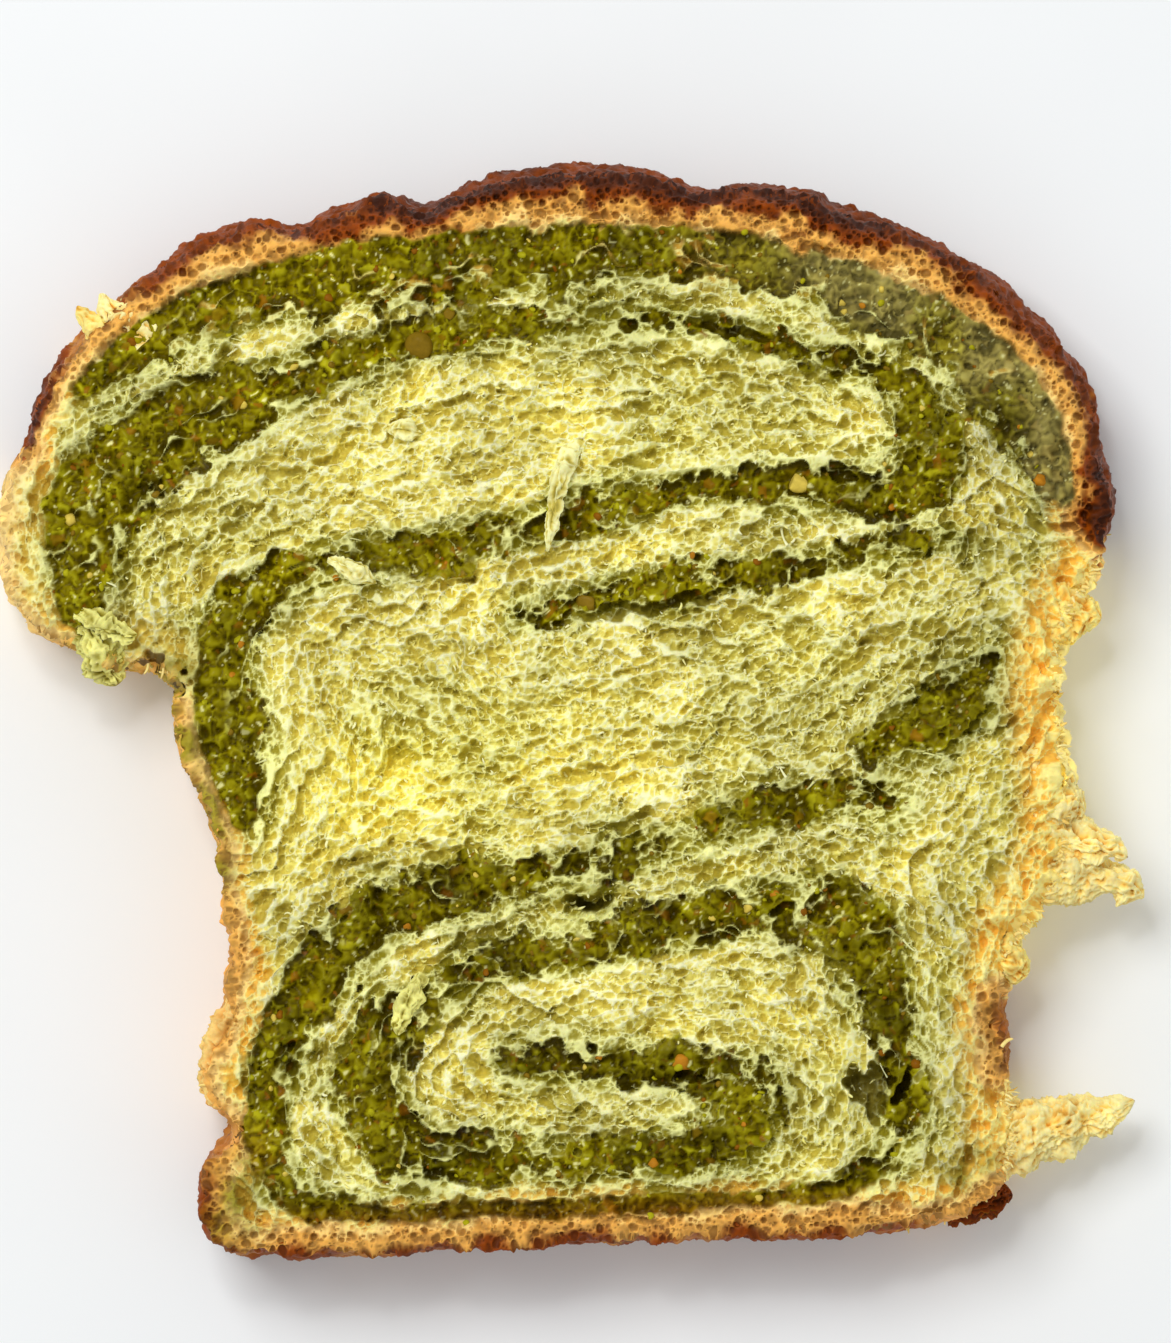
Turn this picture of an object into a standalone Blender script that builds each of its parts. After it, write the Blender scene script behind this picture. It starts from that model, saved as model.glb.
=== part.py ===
"""One torn slice of a tin loaf of pistachio swirl bread, lying flat on a cut face.

Built in Blender 4.5, in metres, +Z up. The slice lies in the XY plane: +Y runs from the tin
base to the domed crown, +X to the torn side, and the origin is at the middle of the underside.
The dough with its crust is one solid, and each visible run of pistachio filling is a solid that
goes right through the slice in a slot of the dough.
"""

import math
import random

import bmesh
import bpy
import numpy as np
from mathutils import Vector, noise
from mathutils.geometry import delaunay_2d_cdt

MM = 0.001
THICKNESS = 18.0 * MM
FILLING_GAP = 0.4 * MM  # clear space between the dough and the filling in its slot
FILLING_SINK = 0.5 * MM  # the soft filling stands lower than the dough on the cut face

OUTLINE_STEP = 1.9 * MM
BAND_STEP = 1.65 * MM
DOUGH_RELIEF_STEP = 3.3 * MM
FILLING_RELIEF_STEP = 2.1 * MM

CROWN_FROM_Y = 26 * MM  # above this height the outer wall is the rounded crown crust
CROWN_RIM = 2.3 * MM
TORN_RIM = 0.7 * MM
WALL_BULGE = 0.9 * MM
TORN_FROM_X = 44 * MM  # to the right of this and below the crown the crumb is torn
TORN_LUMP = 1.1 * MM
CRUST_LUMP = 0.3 * MM

BROAD_RELIEF = (0.75 * MM, 13 * MM)  # height and width of the broad waves of the cut face
FINE_RELIEF = (0.40 * MM, 4.5 * MM)
GRAIN_RELIEF = (0.55 * MM, 2.3 * MM)  # lumps of chopped nut in the filling

# Corners of the slice in mm, clockwise from the left end of the crown crust.
CROWN = [
    (-62.9, 34.2), (-58.1, 42.4), (-53.2, 47.5), (-48.9, 51.1), (-43.7, 54.6), (-38.0, 56.7),
    (-31.6, 56.5), (-25.9, 58.7), (-20.1, 59.5), (-17.6, 58.5), (-14.4, 60.1), (-2.9, 62.7),
    (10.4, 61.9), (15.5, 60.5), (20.1, 61.1), (31.6, 58.2), (42.6, 53.9), (52.3, 46.5),
    (59.5, 37.6), (61.1, 28.1), (61.8, 23.0), (60.8, 18.9),
]
TORN_SIDE = [
    (59.5, 15.4), (57.5, 12.6), (55.5, 4.8), (56.6, -5.5), (56.7, -11.3), (54.1, -22.2),
    (50.9, -26.2), (49.8, -31.4), (50.1, -44.0), (50.6, -49.2), (46.6, -57.3),
]
TIN_BASE = [
    (40.8, -59.1), (14.4, -60.6), (-17.8, -62.0), (-33.0, -62.6), (-39.2, -62.5), (-41.9, -60.2),
]
TIN_WALL = [
    (-42.4, -52.1), (-39.2, -47.6), (-42.3, -44.6), (-42.4, -42.6), (-40.6, -36.6),
    (-40.2, -22.2), (-42.8, -10.7), (-45.8, -2.6), (-46.6, 4.0),
]
OVERHANG = [
    (-50.0, 5.3), (-53.2, 4.7), (-55.7, 6.9), (-62.7, 9.9), (-65.1, 13.1), (-65.8, 25.5),
    (-63.9, 31.2),
]
OUTLINE = CROWN + TORN_SIDE + TIN_BASE + TIN_WALL + OVERHANG

# Runs of filling in mm: centre line x, y and half width.
CROWN_RUN = [
    (-57.0, 36.6, 1.1), (-53.6, 39.3, 2.1), (-43.1, 45.7, 3.1), (-31.6, 49.0, 3.4),
    (-8.6, 51.8, 3.8), (7.5, 52.9, 2.8), (21.3, 51.8, 2.8), (33.9, 47.7, 3.4),
    (44.3, 41.8, 3.7), (52.9, 32.4, 3.7), (56.3, 24.6, 1.4),
]
TONGUE_RUN = [
    (-57.2, 12.9, 3.0), (-55.2, 24.4, 5.3), (-51.2, 29.0, 5.1), (-39.1, 35.7, 4.0),
    (-32.8, 38.0, 3.2), (-27.0, 39.9, 1.9), (-15.5, 43.7, 1.7), (5.2, 45.1, 1.1),
    (17.8, 43.9, 1.2), (30.5, 40.4, 1.3), (35.9, 38.4, 1.5), (39.4, 35.3, 2.3),
    (41.2, 31.2, 3.5), (40.0, 27.4, 3.9), (36.2, 26.0, 3.2), (25.9, 26.0, 2.1),
    (8.6, 25.1, 2.0), (-2.9, 21.9, 2.3), (-14.4, 19.2, 2.0), (-25.9, 17.7, 1.9),
    (-36.4, 14.1, 2.6), (-39.6, 10.9, 2.8), (-40.2, 1.6, 3.6), (-38.5, -9.8, 2.5),
    (-38.2, -13.2, 1.2),
]
SEAM_RUN = [
    (43.2, 19.9, 1.2), (31.6, 17.8, 1.3), (20.1, 16.2, 1.6), (8.6, 14.6, 1.9), (-6.0, 11.0, 0.8),
]
PATCH_RUN = [
    (48.9, 6.6, 1.1), (46.8, 3.5, 2.7), (43.3, 0.4, 3.6), (38.7, -2.4, 3.1), (34.3, -4.1, 1.4),
]
ROLL_RUN = [
    (37.2, -9.9, 1.5), (25.9, -10.5, 1.8), (14.4, -13.8, 1.8), (2.9, -17.3, 1.7),
    (-8.6, -19.7, 2.3), (-20.1, -23.0, 3.2), (-29.9, -31.4, 3.0), (-34.8, -41.2, 2.7),
    (-34.8, -51.5, 2.6), (-32.0, -55.8, 2.4), (-26.4, -57.4, 1.4), (-8.6, -57.0, 1.1),
    (14.4, -56.1, 1.1), (32.4, -53.6, 1.3), (36.6, -50.4, 1.6), (38.0, -45.8, 1.9),
    (36.2, -34.3, 2.4), (34.8, -28.5, 3.0), (31.6, -23.8, 3.3), (26.4, -22.0, 3.1),
    (13.2, -24.5, 2.4), (-0.6, -27.4, 2.3), (-13.8, -30.8, 2.1), (-18.7, -33.9, 2.4),
    (-22.6, -38.3, 3.4), (-24.0, -43.5, 4.0), (-21.6, -48.1, 3.8), (-16.1, -50.9, 2.7),
    (-8.6, -51.4, 2.2), (7.5, -51.0, 2.4), (14.0, -50.0, 3.2), (19.0, -47.3, 4.4),
    (19.2, -44.2, 4.4), (14.6, -41.6, 2.5), (2.9, -41.1, 2.0), (-8.1, -40.3, 1.1),
]
FILLING_RUNS = {
    "filling_crown": CROWN_RUN,
    "filling_tongue": TONGUE_RUN,
    "filling_seam": SEAM_RUN,
    "filling_patch": PATCH_RUN,
    "filling_roll": ROLL_RUN,
}

# Low places of the cut face in mm and degrees: x, y, half length, half width, turn, depth.
HOLLOWS = [
    (32.8, -43.2, 3.4, 1.7, -62, 6.5),
    (1.6, -22.1, 3.3, 1.1, 6, 5.0),
    (-41.0, -49.0, 3.0, 2.0, 40, 2.5),
    (50.5, -38.0, 9.0, 3.6, 90, 4.6),
    (47.0, -29.0, 5.0, 1.4, 70, 2.5),
    (50.5, -48.5, 5.0, 3.0, 20, 3.0),
    (-52.0, 8.5, 6.5, 2.2, -14, 3.5),
    (57.2, 21.0, 4.6, 2.6, 80, 2.6),
]

# Torn tufts in mm: points x, y, z and the radius at each.
TUFTS = {
    "tuft_long": [(51.5, -17.4, 10.0, 5.2), (57.0, -17.9, 10.5, 4.0), (61.5, -18.9, 10.6, 2.1),
                  (65.6, -21.4, 10.2, 0.8)],
    "tuft_fork": [(54.0, -14.6, 12.0, 3.6), (59.0, -15.4, 12.4, 2.4), (63.6, -16.6, 12.4, 0.9)],
    "tuft_shoulder": [(53.5, -9.6, 12.4, 3.8), (58.4, -11.6, 13.0, 1.8)],
    "tuft_crown_end": [(55.6, 11.4, 11.5, 3.6), (60.4, 10.9, 12.0, 1.6)],
    "tuft_foot": [(46.0, -50.4, 8.0, 4.6), (53.0, -48.9, 8.2, 3.7), (59.0, -47.2, 8.4, 2.4),
                  (64.6, -45.1, 8.6, 0.7)],
    "tuft_waist": [(49.6, -28.6, 11.0, 2.6), (51.8, -30.2, 11.2, 1.2)],
    "crust_tab": [(44.6, -56.8, 5.0, 2.6), (50.4, -56.2, 4.8, 1.3)],
    "tuft_notch": [(-51.6, 6.6, 7.0, 2.6), (-53.6, 4.2, 6.6, 1.3)],
}


def fbm(x, y, width, octaves=2, seed=0.0):
    """Fractal noise from about -1 to 1 whose largest waves are width across."""
    place = Vector((x / width, y / width, 7.3 + seed))
    return noise.fractal(place, 1.0, 2.0, octaves)


def along_spline(points, per_span, closed):
    """Points on a smooth cubic through rows of numbers, per_span of them to a span.

    The slope at a row is the mean of its two spans' slopes, in which the shorter span counts for
    more, so that unequal spans don't overshoot."""
    rows = np.array(points, float)
    if closed:
        rows = np.vstack([rows[-1], rows, rows[:2]])
    else:
        rows = np.vstack([2 * rows[0] - rows[1], rows, 2 * rows[-1] - rows[-2]])
    step = np.diff(rows, axis=0)
    length = np.linalg.norm(step[:, :2], axis=1)[:, None]
    slope = step / length
    slope = ((slope[:-1] * length[1:] + slope[1:] * length[:-1]) / (length[:-1] + length[1:]))
    start, end, span = rows[1:-2, None], rows[2:-1, None], length[1:-1, None]
    t = np.linspace(0, 1, per_span, endpoint=False)[None, :, None]
    curve = ((2 * t**3 - 3 * t**2 + 1) * start + (t**3 - 2 * t**2 + t) * span * slope[:-1, None]
             + (3 * t**2 - 2 * t**3) * end + (t**3 - t**2) * span * slope[1:, None])
    curve = curve.reshape(-1, rows.shape[1])
    return curve if closed else np.vstack([curve, rows[-2]])


def resample(curve, step, closed):
    """The same curve with points about step apart along it."""
    ring = np.vstack([curve, curve[:1]]) if closed else curve
    travelled = np.r_[0, np.cumsum(np.linalg.norm(np.diff(ring[:, :2], axis=0), axis=1))]
    count = max(8, round(travelled[-1] / step))
    at = np.linspace(0, travelled[-1], count + (not closed), endpoint=not closed)
    return np.stack([np.interp(at, travelled, column) for column in ring.T], axis=1)


def outward(loop, blur):
    """Unit normals that point out of a clockwise loop, averaged over blur neighbours each way."""
    ahead = np.roll(loop, -1, axis=0) - np.roll(loop, 1, axis=0)
    sides = np.stack([-ahead[:, 1], ahead[:, 0]], axis=1)
    mean = sum(np.roll(sides, shift, axis=0) for shift in range(-blur, blur + 1))
    return mean / np.linalg.norm(mean, axis=1)[:, None]


class Run:
    """One run of filling as seen on the cut face: a centre line and a half width along it."""

    def __init__(self, rows):
        self.line = resample(along_spline(rows, 24, False) * MM, 0.5 * MM, False)

    def distance(self, points):
        """Distance from each point to the edge of the run, below zero inside it."""
        away = np.linalg.norm(points[:, None, :] - self.line[None, :, :2], axis=2)
        return (away - self.line[None, :, 2]).min(axis=1)

    def edge(self, grow):
        """The closed edge of the run, moved out by grow: both sides and two round ends."""
        middle = self.line
        ahead = np.gradient(middle[:, :2], axis=0)
        ahead /= np.linalg.norm(ahead, axis=1)[:, None]
        side = np.stack([-ahead[:, 1], ahead[:, 0]], axis=1)
        reach = (middle[:, 2] + grow)[:, None]
        turn = np.linspace(0, math.pi, 9)[1:-1, None]

        def end(row, forward):
            return (middle[row, :2] + reach[row]
                    * (np.cos(turn) * side[row] * forward + np.sin(turn) * ahead[row] * forward))

        left = middle[:, :2] + side * reach
        right = (middle[:, :2] - side * reach)[::-1]
        loop = np.vstack([left, end(-1, 1), right, end(0, -1)])
        loop = loop[self.distance(loop) > grow - 0.06 * MM]
        return resample(loop, BAND_STEP, True)


def inside_loop(points, loop):
    """True for each point inside a closed loop, by counting the sides to its right."""
    x, y = points[:, 0, None], points[:, 1, None]
    x0, y0 = loop[:, 0], loop[:, 1]
    x1, y1 = np.roll(x0, -1), np.roll(y0, -1)
    crosses = (y0 > y) != (y1 > y)
    rise = np.where(y1 == y0, 1, y1 - y0)
    return (crosses & (x < x0 + (y - y0) * (x1 - x0) / rise)).sum(axis=1) % 2 == 1


def scattered(loop, step, seed):
    """Points on a jittered triangular grid that lie well inside a loop."""
    draw = random.Random(seed)
    low, high = loop.min(axis=0), loop.max(axis=0)
    points = []
    for row, y in enumerate(np.arange(low[1], high[1], step * 0.87)):
        for x in np.arange(low[0] + (row % 2) * step / 2, high[0], step):
            points.append((x + draw.uniform(-0.2, 0.2) * step, y + draw.uniform(-0.2, 0.2) * step))
    points = np.array(points)
    points = points[inside_loop(points, loop)]
    away = np.linalg.norm(points[:, None] - loop[None], axis=2).min(axis=1)
    return points[away > 0.55 * step]


def hollow_depth(x, y):
    """Depth below the cut face that the low places give at a point."""
    depth = 0.0
    for cx, cy, length, width, turn, deep in HOLLOWS:
        angle = math.radians(turn)
        dx, dy = x / MM - cx, y / MM - cy
        along = (dx * math.cos(angle) + dy * math.sin(angle)) / length
        across = (dy * math.cos(angle) - dx * math.sin(angle)) / width
        depth = max(depth, deep * MM * max(0.0, 1 - (along**2 + across**2) / 1.7) ** 0.7)
    return depth


def hollow_seeds():
    """Points on rings round each low place, so that the cut face follows its sides."""
    points = []
    for cx, cy, length, width, turn, _ in HOLLOWS:
        angle = math.radians(turn)
        for share, count in ((0.0, 1), (0.55, 6), (1.1, 9)):
            for i in range(count):
                along = length * share * math.cos(i * math.tau / count)
                across = width * share * math.sin(i * math.tau / count)
                points.append((cx + along * math.cos(angle) - across * math.sin(angle),
                               cy + along * math.sin(angle) + across * math.cos(angle)))
    return np.array(points) * MM


def dough_top(x, y):
    """Height of the cut face of the dough."""
    broad = BROAD_RELIEF[0] * fbm(x, y, BROAD_RELIEF[1])
    fine = FINE_RELIEF[0] * fbm(x, y, FINE_RELIEF[1], seed=3.1)
    return THICKNESS + broad + fine - hollow_depth(x, y)


def filling_top(x, y):
    """Height of the cut face of the filling: the dough's waves, sunk a little, with nut lumps."""
    broad = BROAD_RELIEF[0] * fbm(x, y, BROAD_RELIEF[1])
    grains = GRAIN_RELIEF[0] * fbm(x, y, GRAIN_RELIEF[1], seed=9.4)
    return THICKNESS + broad + grains - FILLING_SINK - 0.6 * hollow_depth(x, y)


def triangulate(loops, seeds, keep):
    """Delaunay triangles between closed loops and seed points: (points, faces that keep allows)."""
    points, edges = [], []
    for loop in loops:
        first = len(points)
        points += [Vector(p) for p in loop]
        edges += [(first + i, first + (i + 1) % len(loop)) for i in range(len(loop))]
    points += [Vector(p) for p in seeds]
    found, _, faces, *_ = delaunay_2d_cdt(points, edges, [], 1, 1e-7)
    flat = np.array([tuple(p) for p in found])
    faces = np.array([tuple(f) for f in faces])
    return flat, faces[keep(flat[faces].mean(axis=1))]


def mesh_object(name, collection, material, points, faces):
    """A smooth-shaded object from points and faces, with doubled points made one."""
    mesh = bpy.data.meshes.new(name)
    mesh.from_pydata([tuple(p) for p in points], [], faces)
    solid = bmesh.new()
    solid.from_mesh(mesh)
    bmesh.ops.remove_doubles(solid, verts=solid.verts, dist=0.01 * MM)
    bmesh.ops.recalc_face_normals(solid, faces=solid.faces)
    solid.to_mesh(mesh)
    solid.free()
    mesh.shade_smooth()
    mesh.set_sharp_from_angle(angle=math.radians(40))
    mesh.materials.append(material)
    obj = bpy.data.objects.new(name, mesh)
    collection.objects.link(obj)
    return obj


def lift(flat, height):
    """Flat points at the height that a function gives, or at a number."""
    z = [height(x, y) if callable(height) else height for x, y in flat]
    return np.column_stack([flat, z])


def wall(upper, lower, first):
    """Quads between two closed rings of equal count, whose points start at first in the mesh."""
    count = len(upper)
    return [(first + i, first + (i + 1) % count, first + count + (i + 1) % count, first + count + i)
            for i in range(count)]


class SolidBuilder:
    """Collects the skins of one closed solid."""

    def __init__(self):
        self.points, self.faces = [], []

    def add_skin(self, points, faces):
        first = len(self.points)
        self.points += [tuple(p) for p in points]
        self.faces += [tuple(int(i) + first for i in face) for face in faces]

    def add_rings(self, rings):
        """Walls from each closed ring down to the next."""
        for upper, lower in zip(rings, rings[1:]):
            first = len(self.points)
            self.points += [tuple(p) for p in upper] + [tuple(p) for p in lower]
            self.faces += wall(upper, lower, first)


def outer_rings(loop, runs):
    """Closed rings down the outer wall of the slice, from the cut face to the underside.

    Each ring is the outline moved in by a share of the rim, at a share of the local height, and
    the crown bulges out between the two cut faces. The crown's rim is rounder than the torn
    sides', and no rim takes more than half of the dough between the outline and a slot."""
    normals = outward(loop, 2)
    crown = 1 / (1 + np.exp(-(loop[:, 1] - CROWN_FROM_Y) / (2 * MM)))
    torn = (1 - crown) / (1 + np.exp(-(loop[:, 0] - TORN_FROM_X) / (2 * MM)))
    lump = CRUST_LUMP + (TORN_LUMP - CRUST_LUMP) * torn
    clear = np.min([run.distance(loop) for run in runs.values()], axis=0) - FILLING_GAP
    room = np.maximum(clear - WALL_BULGE * crown - lump, 0.1 * MM)
    rim = np.minimum(TORN_RIM + (CROWN_RIM - TORN_RIM) * crown, 0.6 * room)
    profile = [(1.0, 1.0, 0.0), (0.93, 0.42, 0.1), (0.78, 0.0, 0.5), (0.45, 0.0, 1.0),
               (0.12, 0.0, 0.4), (0.0, 0.35, 0.0)]
    rings, top = [], None
    for height, inset, bulge in profile:
        rough = np.array([fbm(x, y, 5 * MM, seed=3 * height) for x, y in loop])
        out = lump * rough * max(bulge, 0.4) - WALL_BULGE * crown * (1 - bulge) - rim * inset
        flat = loop + normals * out[:, None]
        top = lift(flat, dough_top)[:, 2] if top is None else top
        rings.append(np.column_stack([flat, top * height]))
    return rings


def make_dough(collection, material, runs):
    """The dough and its crust: relief on top, slots for the filling, rounded outer wall."""
    loop = resample(along_spline(OUTLINE, 12, True) * MM, OUTLINE_STEP, True)
    rings = outer_rings(loop, runs)
    slots = [run.edge(FILLING_GAP) for run in runs.values()]
    seeds = scattered(rings[0][:, :2], DOUGH_RELIEF_STEP, 11)
    rounds = hollow_seeds()
    apart = np.linalg.norm(seeds[:, None] - rounds[None], axis=2).min(axis=1)
    edge = np.linalg.norm(rounds[:, None] - rings[0][None, :, :2], axis=2).min(axis=1)
    rounds = rounds[inside_loop(rounds, rings[0][:, :2]) & (edge > 1 * MM)]
    seeds = np.vstack([seeds[apart > 1.6 * MM], rounds])
    clear = np.min([run.distance(seeds) for run in runs.values()], axis=0)
    seeds = seeds[clear > FILLING_GAP + 0.9 * MM]

    def in_dough(outer):
        def keep(centres):
            in_slot = np.any([inside_loop(centres, slot) for slot in slots], axis=0)
            return inside_loop(centres, outer) & ~in_slot
        return keep

    solid = SolidBuilder()
    upper, lower = rings[0][:, :2], rings[-1][:, :2]
    flat, faces = triangulate([upper, *slots], seeds, in_dough(upper))
    solid.add_skin(lift(flat, dough_top), faces)
    flat, faces = triangulate([lower, *slots], [], in_dough(lower))
    solid.add_skin(lift(flat, 0.0), faces)
    solid.add_rings(rings)
    for slot in slots:
        solid.add_rings([lift(slot, dough_top), lift(slot, 0.0)])
    return mesh_object("dough", collection, material, solid.points, solid.faces)


def make_filling(name, run, collection, material):
    """One run of filling from the cut face to the underside, with a lumpy top."""
    edge = run.edge(0.0)
    seeds = scattered(edge, FILLING_RELIEF_STEP, len(name))

    def keep(centres):
        return inside_loop(centres, edge)

    solid = SolidBuilder()
    flat, faces = triangulate([edge], seeds, keep)
    solid.add_skin(lift(flat, filling_top), faces)
    flat, faces = triangulate([edge], [], keep)
    solid.add_skin(lift(flat, 0.0), faces)
    solid.add_rings([lift(edge, filling_top), lift(edge, 0.0)])
    return mesh_object(name, collection, material, solid.points, solid.faces)


def make_tuft(name, rows, collection):
    """A torn tuft: a tapering tube along its points, crumpled by noise."""
    curve = bpy.data.curves.new(name, "CURVE")
    curve.dimensions = "3D"
    curve.bevel_depth = 1 * MM
    curve.bevel_resolution = 2
    curve.resolution_u = 2
    curve.use_fill_caps = True
    spline = curve.splines.new("BEZIER")
    spline.bezier_points.add(len(rows) - 1)
    for point, (x, y, z, radius) in zip(spline.bezier_points, rows):
        point.co = Vector((x, y, z)) * MM
        point.radius = radius
        point.handle_left_type = point.handle_right_type = "AUTO"
    guide = bpy.data.objects.new(name, curve)
    collection.objects.link(guide)
    bpy.context.view_layer.update()
    evaluated = guide.evaluated_get(bpy.context.evaluated_depsgraph_get())
    mesh = bpy.data.meshes.new_from_object(evaluated)
    solid = bmesh.new()
    solid.from_mesh(mesh)
    bmesh.ops.remove_doubles(solid, verts=solid.verts, dist=0.01 * MM)
    for vertex in solid.verts:
        push = noise.noise_vector(vertex.co / (2.2 * MM)) * 0.8 * MM
        vertex.co += push
    bmesh.ops.recalc_face_normals(solid, faces=solid.faces)
    solid.to_mesh(mesh)
    solid.free()
    tuft = bpy.data.objects.new(name + "_solid", mesh)
    collection.objects.link(tuft)
    bpy.data.objects.remove(guide)
    return tuft


def fuse_tufts(dough, tufts):
    """Joins the tufts to the dough in one Boolean union and removes them."""
    union = dough.modifiers.new("torn tufts", "BOOLEAN")
    union.operation = "UNION"
    union.operand_type = "COLLECTION"
    union.collection = tufts
    union.solver = "EXACT"
    bpy.context.view_layer.update()
    joined = bpy.data.meshes.new_from_object(
        dough.evaluated_get(bpy.context.evaluated_depsgraph_get()))
    dough.modifiers.remove(union)
    dough.data = joined
    for tuft in list(tufts.objects):
        bpy.data.objects.remove(tuft)
    bpy.data.collections.remove(tufts)


def centre_on_origin(objects):
    """Moves all the meshes together so that the middle of the underside is at the origin."""
    corners = np.array([v.co for obj in objects for v in obj.data.vertices])
    low, high = corners.min(axis=0), corners.max(axis=0)
    shift = -Vector(((low[0] + high[0]) / 2, (low[1] + high[1]) / 2, low[2]))
    for obj in objects:
        for vertex in obj.data.vertices:
            vertex.co += shift


def food_material(name, colour, roughness):
    """A Principled BSDF of one colour, in linear light, for food with no metal in it."""
    material = bpy.data.materials.new(name)
    material.use_nodes = True
    shader = material.node_tree.nodes["Principled BSDF"]
    shader.inputs["Base Color"].default_value = (*colour, 1.0)
    shader.inputs["Roughness"].default_value = roughness
    shader.inputs["Metallic"].default_value = 0.0
    return material


def main():
    for obj in list(bpy.data.objects):
        bpy.data.objects.remove(obj)
    scene = bpy.context.scene
    bread = bpy.data.collections.new("pistachio_bread_slice")
    tufts = bpy.data.collections.new("torn_tufts")
    scene.collection.children.link(bread)
    scene.collection.children.link(tufts)
    crumb = food_material("pistachio crumb", (0.63, 0.54, 0.13), 0.85)
    paste = food_material("pistachio paste", (0.16, 0.12, 0.01), 0.55)

    runs = {name: Run(rows) for name, rows in FILLING_RUNS.items()}
    dough = make_dough(bread, crumb, runs)
    for name, rows in TUFTS.items():
        make_tuft(name, rows, tufts)
    fuse_tufts(dough, tufts)
    fillings = [make_filling(name, run, bread, paste) for name, run in runs.items()]
    centre_on_origin([dough, *fillings])


if __name__ == "__main__":
    main()
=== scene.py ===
"""Looks of a torn slice of pistachio swirl bread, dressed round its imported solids.

The cut face is one height surface over the plane: open crumb, grainy filling and porous crust.
The crust wall is a profile carried round the outline. Torn tufts, shreds, threads and nut bits
are laid on them. Lengths are in millimetres until a mesh is made.
"""

import logging
import math
from dataclasses import dataclass, field
from enum import Enum
from itertools import product

import bpy
import numpy as np
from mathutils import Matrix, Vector
from mathutils.bvhtree import BVHTree


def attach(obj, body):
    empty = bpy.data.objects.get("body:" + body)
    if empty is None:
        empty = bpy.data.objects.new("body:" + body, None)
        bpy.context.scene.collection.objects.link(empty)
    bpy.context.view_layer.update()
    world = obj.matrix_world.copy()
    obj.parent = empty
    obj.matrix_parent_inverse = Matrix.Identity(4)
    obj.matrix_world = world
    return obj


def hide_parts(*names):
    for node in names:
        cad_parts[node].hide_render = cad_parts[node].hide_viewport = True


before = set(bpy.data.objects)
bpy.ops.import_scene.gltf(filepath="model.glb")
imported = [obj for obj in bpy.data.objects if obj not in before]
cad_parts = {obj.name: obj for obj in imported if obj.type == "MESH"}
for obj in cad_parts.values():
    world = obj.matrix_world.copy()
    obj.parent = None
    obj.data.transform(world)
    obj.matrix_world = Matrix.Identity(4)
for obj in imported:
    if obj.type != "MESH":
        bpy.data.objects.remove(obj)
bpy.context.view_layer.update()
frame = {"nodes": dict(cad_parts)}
LOG = logging.getLogger("bread")

Array = np.ndarray
Rows = tuple[tuple[float, ...], ...]
MM = 0.001
MEASURE_SHIFT = np.array([0.18, 0.02])  # from the point that rows are measured from to the origin
THICKNESS = 18.0


class Slot(Enum):
    """The record's material slots."""

    CRUMB = "crumb"
    PASTE = "pistachio_paste"


class Tear(Enum):
    """What a torn tuft is of, as the names of its pale tone and its deep tone, which is painted shade
    in its pores.
    """

    CREAM = ("tuft_pale", "tuft_pore_shade")
    GOLD = ("gold_pale", "gold_pore_shade")
    GREEN = ("flap_pale", "flap_pore_shade")
    CRUMB = ("veil_pale", "crumb_pore_shade")
    CRUST = ("crust_brown", "crust_dark")
    RIND = ("crust_gold", "crust_orange")


def linear(red: int, green: int, blue: int) -> Array:
    """Linear light of a display colour: each channel below 0.04045 is divided by 12.92, others
    go through the power 2.4.

    Args:
        red, green, blue: display values from 0 to 255.

    Returns:
        Array of three linear values.
    """
    shown = np.array([red, green, blue]) / 255
    return np.where(shown <= 0.04045, shown / 12.92, ((shown + 0.055) / 1.055) ** 2.4)


def display(red: int, green: int, blue: int) -> Array:
    """A dataclass field that holds a display colour in linear light."""
    return field(default_factory=lambda: linear(red, green, blue))


@dataclass(frozen=True)
class Tones:
    """Colours of the slice in linear light."""

    # The pale tones go on walls, ridges and tops, partly as painted highlight; the pore, pit and gap
    # shades are painted shade in pores, pits and gaps.
    crumb_pale: Array = display(255, 254, 200)
    crumb_mid: Array = display(246, 235, 126)
    crumb_pore_shade: Array = display(208, 190, 78)
    stain_pale: Array = display(232, 232, 150)
    # stain_pore is the green stain's dark tone: painted shade in stained pores, and the real tone of
    # smeared filling on walls.
    stain_pore: Array = display(142, 132, 22)
    veil_pale: Array = display(246, 244, 176)
    gold_pale: Array = display(255, 236, 142)
    gold_pore_shade: Array = display(244, 192, 78)
    tuft_pale: Array = display(255, 240, 166)
    tuft_pore_shade: Array = display(248, 210, 110)
    tuft_pit_shade: Array = display(210, 152, 52)
    flap_pale: Array = display(240, 236, 140)
    flap_pore_shade: Array = display(150, 136, 24)
    crust_gold: Array = display(244, 206, 124)
    crust_orange: Array = display(224, 166, 78)
    crust_brown: Array = display(132, 58, 0)
    crust_dark: Array = display(76, 30, 2)
    paste_mid: Array = display(122, 110, 0)
    paste_gap_shade: Array = display(76, 64, 0)
    paste_light: Array = display(176, 170, 24)
    paste_grey: Array = display(160, 147, 80)
    paste_brown: Array = display(140, 88, 12)
    # Painted glints: pale specks put on the tops of some grains of filling.
    painted_glint: Array = display(226, 222, 150)
    nut_amber: Array = display(190, 126, 30)
    nut_yellow: Array = display(222, 196, 84)
    nut_olive: Array = display(136, 108, 24)


TONES = Tones()


def ease(low: float, high: float, value: Array) -> Array:
    """Smooth step: zero up to low, one from high, three t squared less two t cubed between."""
    share = np.clip((value - low) / (high - low), 0, 1)
    return share * share * (3 - 2 * share)


def mix(first: Array, second: Array, share: Array) -> Array:
    """Straight mix of two colours, or of rows of colours, by a share for each point."""
    return first + (second - first) * share[:, None]


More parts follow.
